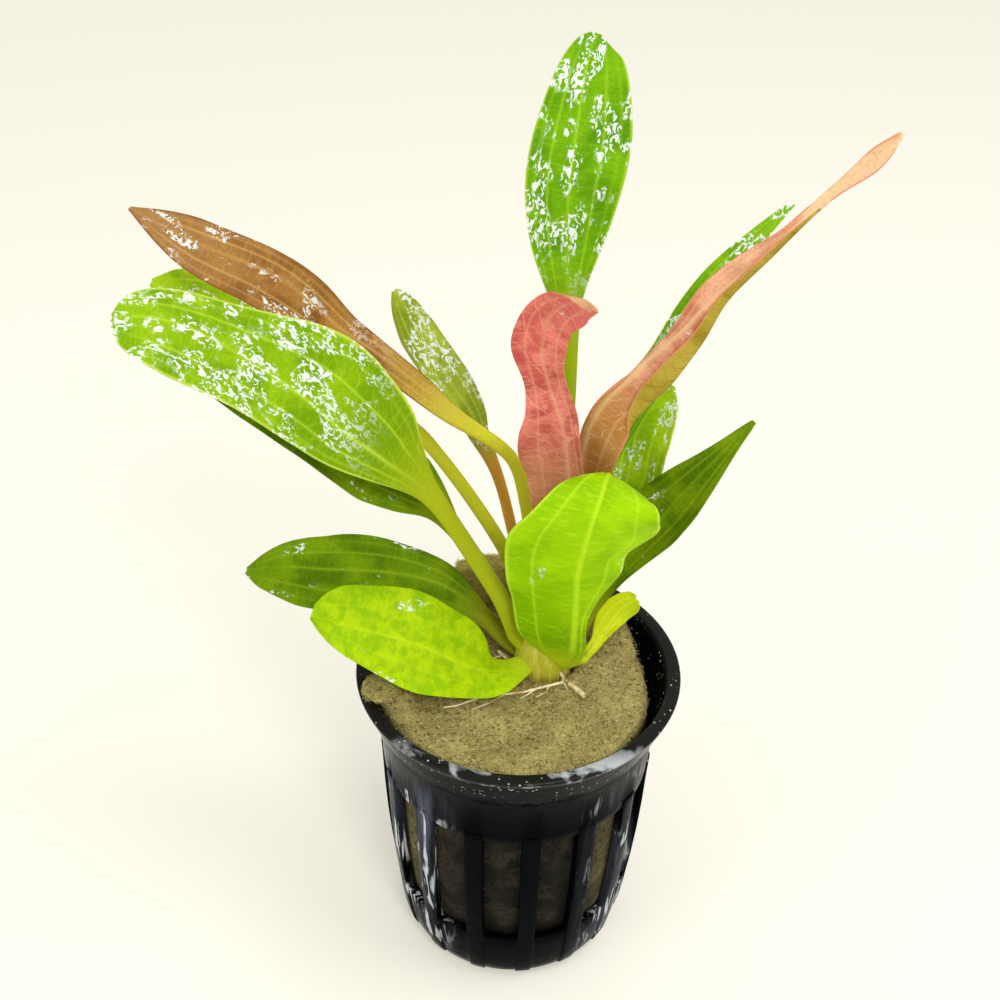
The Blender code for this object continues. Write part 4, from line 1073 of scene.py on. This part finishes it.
def lay_leaf(blank, leaf):
    centre, side, up, length = leaf_spine(leaf)
    share, across, x = blank_places(blank)
    height, vein, blade = leaf_relief(leaf, share, across, x, length)
    if "fold" in leaf:
        x, height = fold_over(leaf, share, across, x, height)
    steps = np.linspace(0, 1, SPINE_POINTS)

    def along(values):
        return np.stack([np.interp(share, steps, values[:, k]) for k in range(3)], 1)

    side_here = along(side)
    up_here = along(up)
    inwards = np.array([(c - p) * 0.6 for c, p in zip(CROWN_CENTRE, leaf["midrib"][0])] + [-2.0])
    pull = np.clip(1 - share / FOOT_SHARE, 0, 1) ** 2
    places = along(centre) + side_here * x[:, None] + up_here * height[:, None] + pull[:, None] * inwards
    places *= MM
    blank.data.vertices.foreach_set("co", places.astype(np.float32).ravel())
    write_attribute(blank, "blade", np.stack([x, share * length, share], 1))
    write_attribute(blank, "marks", np.stack([vein, 1 - blade, np.abs(across)], 1))
    blank.data.update()
    return share, across, x, blade


def write_attribute(thing, name, values):
    attribute = thing.data.attributes.new(name, "FLOAT_VECTOR", "POINT")
    attribute.data.foreach_set("vector", values.astype(np.float32).ravel())


# %% [markdown]
# A leaf is thin, but not equally thin. The stalk is nearly round, the midrib
# is a soft keel under the blade, and the margin is almost an edge. A vertex
# group holds the thickness of each point, and Solidify reads it.

# %% Leaf thickness
FULL_THICKNESS = 2.0
BLADE_THICKNESS = 0.34
STALK_THICKNESS = 1.9
KEEL_THICKNESS = 0.8


def thicken_leaf(blank, share, across, x, blade):
    round_stalk = STALK_THICKNESS * np.sqrt(np.clip(1 - across**2, 0.02, 1))
    keel = KEEL_THICKNESS * hump(x, 0.6) * (1 - share) ** 0.6
    thin_blade = BLADE_THICKNESS * (1 - 0.5 * across**6) + keel
    thickness = round_stalk * (1 - blade) + thin_blade * blade
    group = blank.vertex_groups.new(name="thickness")
    for index, amount in enumerate(thickness / FULL_THICKNESS):
        group.add([index], float(min(amount, 1.0)), "REPLACE")
    solid = blank.modifiers.new("thickness", "SOLIDIFY")
    solid.thickness = FULL_THICKNESS * MM
    solid.offset = 0.0
    solid.vertex_group = "thickness"
    solid.material_offset = 1
    solid.material_offset_rim = 0
    apply_modifiers(blank)
    make_active(blank)
    bpy.ops.object.shade_smooth()

# %% [markdown]
# A leaf's colour is not one green. It is darker between patches, paler on the
# veins, and the stalk and the foot have their own colour. All of it is read
# from two attributes that were written when the leaf was laid along its
# midrib, so the pattern follows the leaf through every bend.

# %% Leaf finish recipe
def leaf_branches(finish, blade):
    """Thin slanting veins that leave the midrib on both sides, 1 on a vein."""
    x, y, share = finish.parts(blade)
    slant = finish.math("SUBTRACT", finish.math("MULTIPLY", y, 0.24),
                        finish.math("MULTIPLY", finish.math("ABSOLUTE", x, 0.0), 0.30))
    wander = finish.math("MULTIPLY", finish.noise(0.22, 2, blade), 1.6)
    place = finish.math("FRACT", finish.math("ADD", slant, wander), 0.0)
    off = finish.math("ABSOLUTE", finish.math("SUBTRACT", place, 0.5), 0.0)
    return finish.span(off, 0.045, 0.0)


def leaf_painted_glint(finish, look, blade, share):
    """Painted highlights: broken white glints of a wet leaf, fine islands inside larger patches."""
    islands = finish.noise(1.0, 5, finish.stretched((1.5, 0.9, 0.0), blade), 1.3)
    patches = finish.noise(1.0, 3, finish.stretched((0.24, 0.13, 0.0), blade), 0.5)
    wanted = look.get("painted_glint", 0.5)
    area = finish.span(patches, 0.68 - 0.22 * wanted, 0.74 - 0.22 * wanted)
    start, full = look.get("painted_glint_span", (0.2, 0.3))
    area = finish.math("MULTIPLY", area, finish.span(share, start, full))
    return finish.math("MULTIPLY", finish.span(islands, 0.515, 0.555), area)


def leaf_finish(name, look):
    finish = Finish(name)
    blade = finish.attribute("blade")
    share = finish.parts(blade)[2]
    vein, stalk, across = finish.parts(finish.attribute("marks"))
    patches = finish.noise(look.get("patches", 0.14), 4, blade, 0.4)
    ladder = finish.noise(1.0, 3, finish.stretched((0.35, 2.4, 0.0), blade), 0.6)
    grain = finish.noise(2.6, 4, blade)
    branches = leaf_branches(finish, blade)
    colour = finish.mix(finish.span(patches, 0.36, 0.64), look["dark"], look["light"])
    if "tip" in look:
        colour = finish.mix(finish.span(share, *look.get("tip_span", (0.72, 0.97)), 0.0, 0.85), colour, look["tip"])
    if "base" in look:
        colour = finish.mix(finish.span(share, *look.get("base_span", (0.62, 0.36)), 0.0, 0.9), colour, look["base"])
    colour = finish.mix(finish.span(grain, 0.42, 0.66, 0.0, 0.35), colour, look["dark"])
    colour = finish.mix(finish.span(ladder, 0.52, 0.64, 0.0, look.get("ladder", 0.16)), colour, look["vein"])
    colour = finish.mix(finish.math("MULTIPLY", branches, look.get("branches", 0.2)), colour, look["vein"])
    colour = finish.mix(finish.math("MULTIPLY", vein, look.get("vein_strength", 0.75)), colour, look["vein"])
    if "margin" in look:
        colour = finish.mix(finish.span(across, 0.93, 0.99, 0.0, 0.8), colour, look["margin"])
    colour = finish.mix(stalk, colour, look["stalk"])
    painted_glint = leaf_painted_glint(finish, look, blade, share)
    painted_glint = finish.math("MULTIPLY", painted_glint, finish.span(stalk, 0.9, 0.5))
    # Painted highlight: pale white is mixed into the colour where the glints are; the same mask also gives them a real
    # glossy coat.
    colour = finish.mix(finish.math("MULTIPLY", painted_glint, 0.9), colour, look.get("pale", PAINTED_GLINT_WHITE))
    finish.set("Base Color", colour)
    finish.set("Roughness", finish.span(painted_glint, 0.0, 1.0, 0.5, 0.16))
    finish.set("Specular IOR Level", finish.span(painted_glint, 0.0, 1.0, look.get("wet", 0.05), 0.6))
    finish.set("Coat Weight", finish.math("MULTIPLY", painted_glint, 0.8))
    finish.set("Coat Roughness", 0.08)
    fine = finish.bump(grain, 0.00012, 0.4)
    ridges = finish.bump(finish.math("ADD", ladder, branches), 0.00007, 0.5, fine)
    finish.set("Normal", finish.bump(finish.noise(0.5, 3, blade), 0.0006, 0.35, ridges))
    finish.set("Subsurface Weight", 0.10)
    finish.set("Subsurface Scale", 0.0005)
    finish.shader.inputs["Subsurface Radius"].default_value = (0.7, 1.0, 0.2)
    return finish.material


# %% [markdown]
# Each look below names the colours of one kind of leaf: its dark and light patches, its veins, its stalk, and how much
# of it carries painted glints.

# %% Leaf looks
PAINTED_GLINT_WHITE = (0.80, 0.87, 0.84)
LOOKS = {
    "mid green": dict(dark=(0.085, 0.26, 0.001), light=(0.17, 0.40, 0.002), vein=(0.38, 0.62, 0.03),
                      stalk=(0.30, 0.40, 0.01), margin=(0.36, 0.56, 0.03), painted_glint=0.92, painted_glint_span=(0.60, 0.72)),
    "mid green under": dict(dark=(0.20, 0.34, 0.008), light=(0.32, 0.50, 0.02), vein=(0.42, 0.58, 0.06),
                            stalk=(0.34, 0.42, 0.01), painted_glint=0.1),
    "rose": dict(dark=(0.50, 0.085, 0.075), light=(0.78, 0.23, 0.18), vein=(0.86, 0.46, 0.27), patches=0.3,
                 base=(0.60, 0.27, 0.12), base_span=(0.60, 0.36), tip=(0.74, 0.18, 0.16), stalk=(0.46, 0.36, 0.05),
                 branches=0.5, ladder=0.25, painted_glint=0.0),
    "rose under": dict(dark=(0.42, 0.20, 0.09), light=(0.62, 0.34, 0.18), vein=(0.76, 0.48, 0.26),
                       stalk=(0.46, 0.36, 0.05), branches=0.3, painted_glint=0.0),
    "copper rose": dict(dark=(0.52, 0.17, 0.10), light=(0.78, 0.36, 0.24), vein=(0.86, 0.62, 0.30),
                        tip=(0.92, 0.62, 0.38), tip_span=(0.60, 0.90), base=(0.44, 0.21, 0.04), base_span=(0.54, 0.42),
                        stalk=(0.44, 0.34, 0.06), margin=(0.72, 0.24, 0.16), branches=0.35, patches=0.3, painted_glint=0.0),
    "copper rose under": dict(dark=(0.28, 0.19, 0.014), light=(0.46, 0.35, 0.05), vein=(0.20, 0.14, 0.015),
                              tip=(0.80, 0.52, 0.30), tip_span=(0.80, 0.92), stalk=(0.44, 0.34, 0.06),
                              margin=(0.60, 0.26, 0.09), branches=0.5, painted_glint=0.0),
    "bright upper": dict(dark=(0.16, 0.32, 0.002), light=(0.34, 0.56, 0.006), vein=(0.40, 0.60, 0.04),
                         stalk=(0.42, 0.54, 0.02), painted_glint=0.3),
    "bright underside": dict(dark=(0.23, 0.47, 0.0005), light=(0.36, 0.64, 0.001), vein=(0.50, 0.76, 0.02),
                             base=(0.18, 0.36, 0.0005), base_span=(0.42, 0.16), stalk=(0.46, 0.58, 0.01),
                             margin=(0.50, 0.74, 0.04), ladder=0.3, branches=0.08, patches=0.1, painted_glint=0.15),
    "lime": dict(dark=(0.25, 0.46, 0.001), light=(0.42, 0.61, 0.002), vein=(0.50, 0.68, 0.01),
                 stalk=(0.42, 0.56, 0.01), branches=0.10, ladder=0.2, patches=0.5, painted_glint=0.2),
    "lime under": dict(dark=(0.26, 0.42, 0.006), light=(0.40, 0.56, 0.02), vein=(0.50, 0.64, 0.06),
                       stalk=(0.44, 0.54, 0.02), painted_glint=0.05),
    "lime streaked": dict(dark=(0.20, 0.38, 0.002), light=(0.36, 0.57, 0.006), vein=(0.52, 0.70, 0.05),
                          stalk=(0.46, 0.46, 0.02), margin=(0.50, 0.66, 0.06), painted_glint=0.85, painted_glint_span=(0.40, 0.6)),
    "lime glossy": dict(dark=(0.15, 0.32, 0.001), light=(0.27, 0.47, 0.004), vein=(0.50, 0.68, 0.04),
                        base=(0.15, 0.27, 0.001), base_span=(0.66, 0.52), stalk=(0.36, 0.42, 0.01),
                        margin=(0.52, 0.68, 0.08), branches=0.3, painted_glint=1.0, painted_glint_span=(0.50, 0.64)),
    "deep green": dict(dark=(0.075, 0.155, 0.0005), light=(0.17, 0.29, 0.001), vein=(0.26, 0.40, 0.01),
                       stalk=(0.26, 0.30, 0.01), painted_glint=0.4, painted_glint_span=(0.3, 0.5)),
    "deep green under": dict(dark=(0.15, 0.24, 0.004), light=(0.27, 0.38, 0.015), vein=(0.36, 0.46, 0.04),
                             stalk=(0.26, 0.30, 0.01), painted_glint=0.1),
    "copper": dict(dark=(0.20, 0.078, 0.014), light=(0.38, 0.185, 0.04), vein=(0.66, 0.40, 0.12),
                   base=(0.54, 0.43, 0.05), base_span=(0.60, 0.42), tip=(0.36, 0.19, 0.07), stalk=(0.60, 0.58, 0.03),
                   margin=(0.26, 0.08, 0.02), branches=0.12, painted_glint=0.66, painted_glint_span=(0.50, 0.80)),
    "copper under": dict(dark=(0.36, 0.26, 0.03), light=(0.52, 0.42, 0.09), vein=(0.62, 0.50, 0.16),
                         stalk=(0.60, 0.58, 0.03), painted_glint=0.1),
    "olive": dict(dark=(0.20, 0.27, 0.01), light=(0.36, 0.46, 0.03), vein=(0.54, 0.60, 0.10),
                  stalk=(0.56, 0.28, 0.04), margin=(0.34, 0.24, 0.04), painted_glint=0.9, painted_glint_span=(0.5, 0.6)),
    "olive under": dict(dark=(0.32, 0.34, 0.03), light=(0.46, 0.50, 0.08), vein=(0.56, 0.58, 0.15),
                        stalk=(0.56, 0.28, 0.04), painted_glint=0.1),
    "yellow": dict(dark=(0.42, 0.54, 0.002), light=(0.60, 0.70, 0.006), vein=(0.72, 0.78, 0.05),
                   stalk=(0.50, 0.60, 0.02), painted_glint=0.2),
    "yellow under": dict(dark=(0.40, 0.48, 0.02), light=(0.54, 0.62, 0.05), vein=(0.64, 0.68, 0.12),
                         stalk=(0.52, 0.60, 0.03), painted_glint=0.0),
}
FACES = {
    "mid green": "mid green under",
    "rose": "rose under",
    "copper rose": "copper rose under",
    "lime": "lime under",
    "lime streaked": "lime under",
    "lime glossy": "lime under",
    "deep green": "deep green under",
    "copper": "copper under",
    "olive": "olive under",
    "yellow": "yellow under",
}

# %% [markdown]
# Now the leaves themselves. One function makes the blank, lays it along its
# midrib, thickens it and gives it an upper and a lower face.

# %% All the leaves
FINISHES = {name: leaf_finish(name.replace(" ", "_"), look) for name, look in LOOKS.items()}


def build_leaf(node, leaf):
    blank = leaf_blank(node, leaf)
    share, across, x, blade = lay_leaf(blank, leaf)
    look = leaf["finish"]
    upper = look if look in FACES else "bright upper"
    under = FACES.get(look, look)
    blank.data.materials.append(FINISHES[upper])
    blank.data.materials.append(FINISHES[under])
    thicken_leaf(blank, share, across, x, blade)
    stand_for(blank, node)
    return blank


leaves = {node: build_leaf(node, leaf) for node, leaf in LEAVES.items()}

# %% [markdown]
# The plant stands on a pale floor that is wide enough to fill the picture.
# The floor is a stage, so it is no part of the plant.

# %% Floor
def build_floor():
    deselect_all()
    bpy.ops.mesh.primitive_plane_add(size=5, location=(0, 0.6, -0.0002))
    floor = bpy.context.object
    floor.name = "floor"
    finish = Finish("floor_cream")
    finish.set("Base Color", (0.70, 0.685, 0.615))
    finish.set("Roughness", 0.9)
    finish.set("Specular IOR Level", 0.1)
    finish.set("Emission Color", (1.0, 0.98, 0.88))
    finish.set("Emission Strength", 0.25)
    floor.data.materials.append(finish.material)
    floor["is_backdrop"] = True


build_floor()

# %% [markdown]
# Light comes from two soft boxes above and in front, and from a pale sky. The
# boxes are what the wet leaves mirror, so they are small enough to leave
# crisp glints, and the sky keeps the shadows between the stalks open.

# %% Light
LIGHTS = {
    "front_box": dict(place=(0.20, -0.60, 0.72), size=0.24, power=2.7, colour=(1.0, 0.98, 0.94)),
    "top_box": dict(place=(0.34, -0.10, 0.86), size=0.34, power=2.0, colour=(1.0, 1.0, 1.0)),
    "left_box": dict(place=(-0.62, -0.42, 0.50), size=0.40, power=1.2, colour=(0.97, 0.99, 1.0)),
}
SKY_COLOUR = (1.0, 0.985, 0.94)
SKY_STRENGTH = 0.76


def add_light(name, place, size, power, colour):
    lamp = bpy.data.lights.new(name, "AREA")
    lamp.size = size
    lamp.energy = power
    lamp.color = colour
    light = bpy.data.objects.new(name, lamp)
    bpy.context.collection.objects.link(light)
    towards = Vector((0, 0, 0.07)) - Vector(place)
    light.matrix_world = Matrix.Translation(place) @ towards.to_track_quat("-Z", "Y").to_matrix().to_4x4()


for name, light in LIGHTS.items():
    add_light(name, **light)
world = bpy.data.worlds.new("sky")
world.use_nodes = True
world.node_tree.nodes["Background"].inputs["Color"].default_value = (*SKY_COLOUR, 1.0)
world.node_tree.nodes["Background"].inputs["Strength"].default_value = SKY_STRENGTH
bpy.context.scene.world = world
bpy.context.scene.view_settings.view_transform = "Standard"
print(len(LIGHTS), "lights and a sky")

# %% [markdown]
# The last step compares the dressed plant with the measured solids, and prints both boxes.

# %% Sizes and finish
low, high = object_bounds()
for axis, a, b, c, d in zip("xyz", cad_low, cad_high, low, high):
    print(axis, "solids", round(a / MM, 1), round(b / MM, 1), "dressed", round(c / MM, 1), round(d / MM, 1))
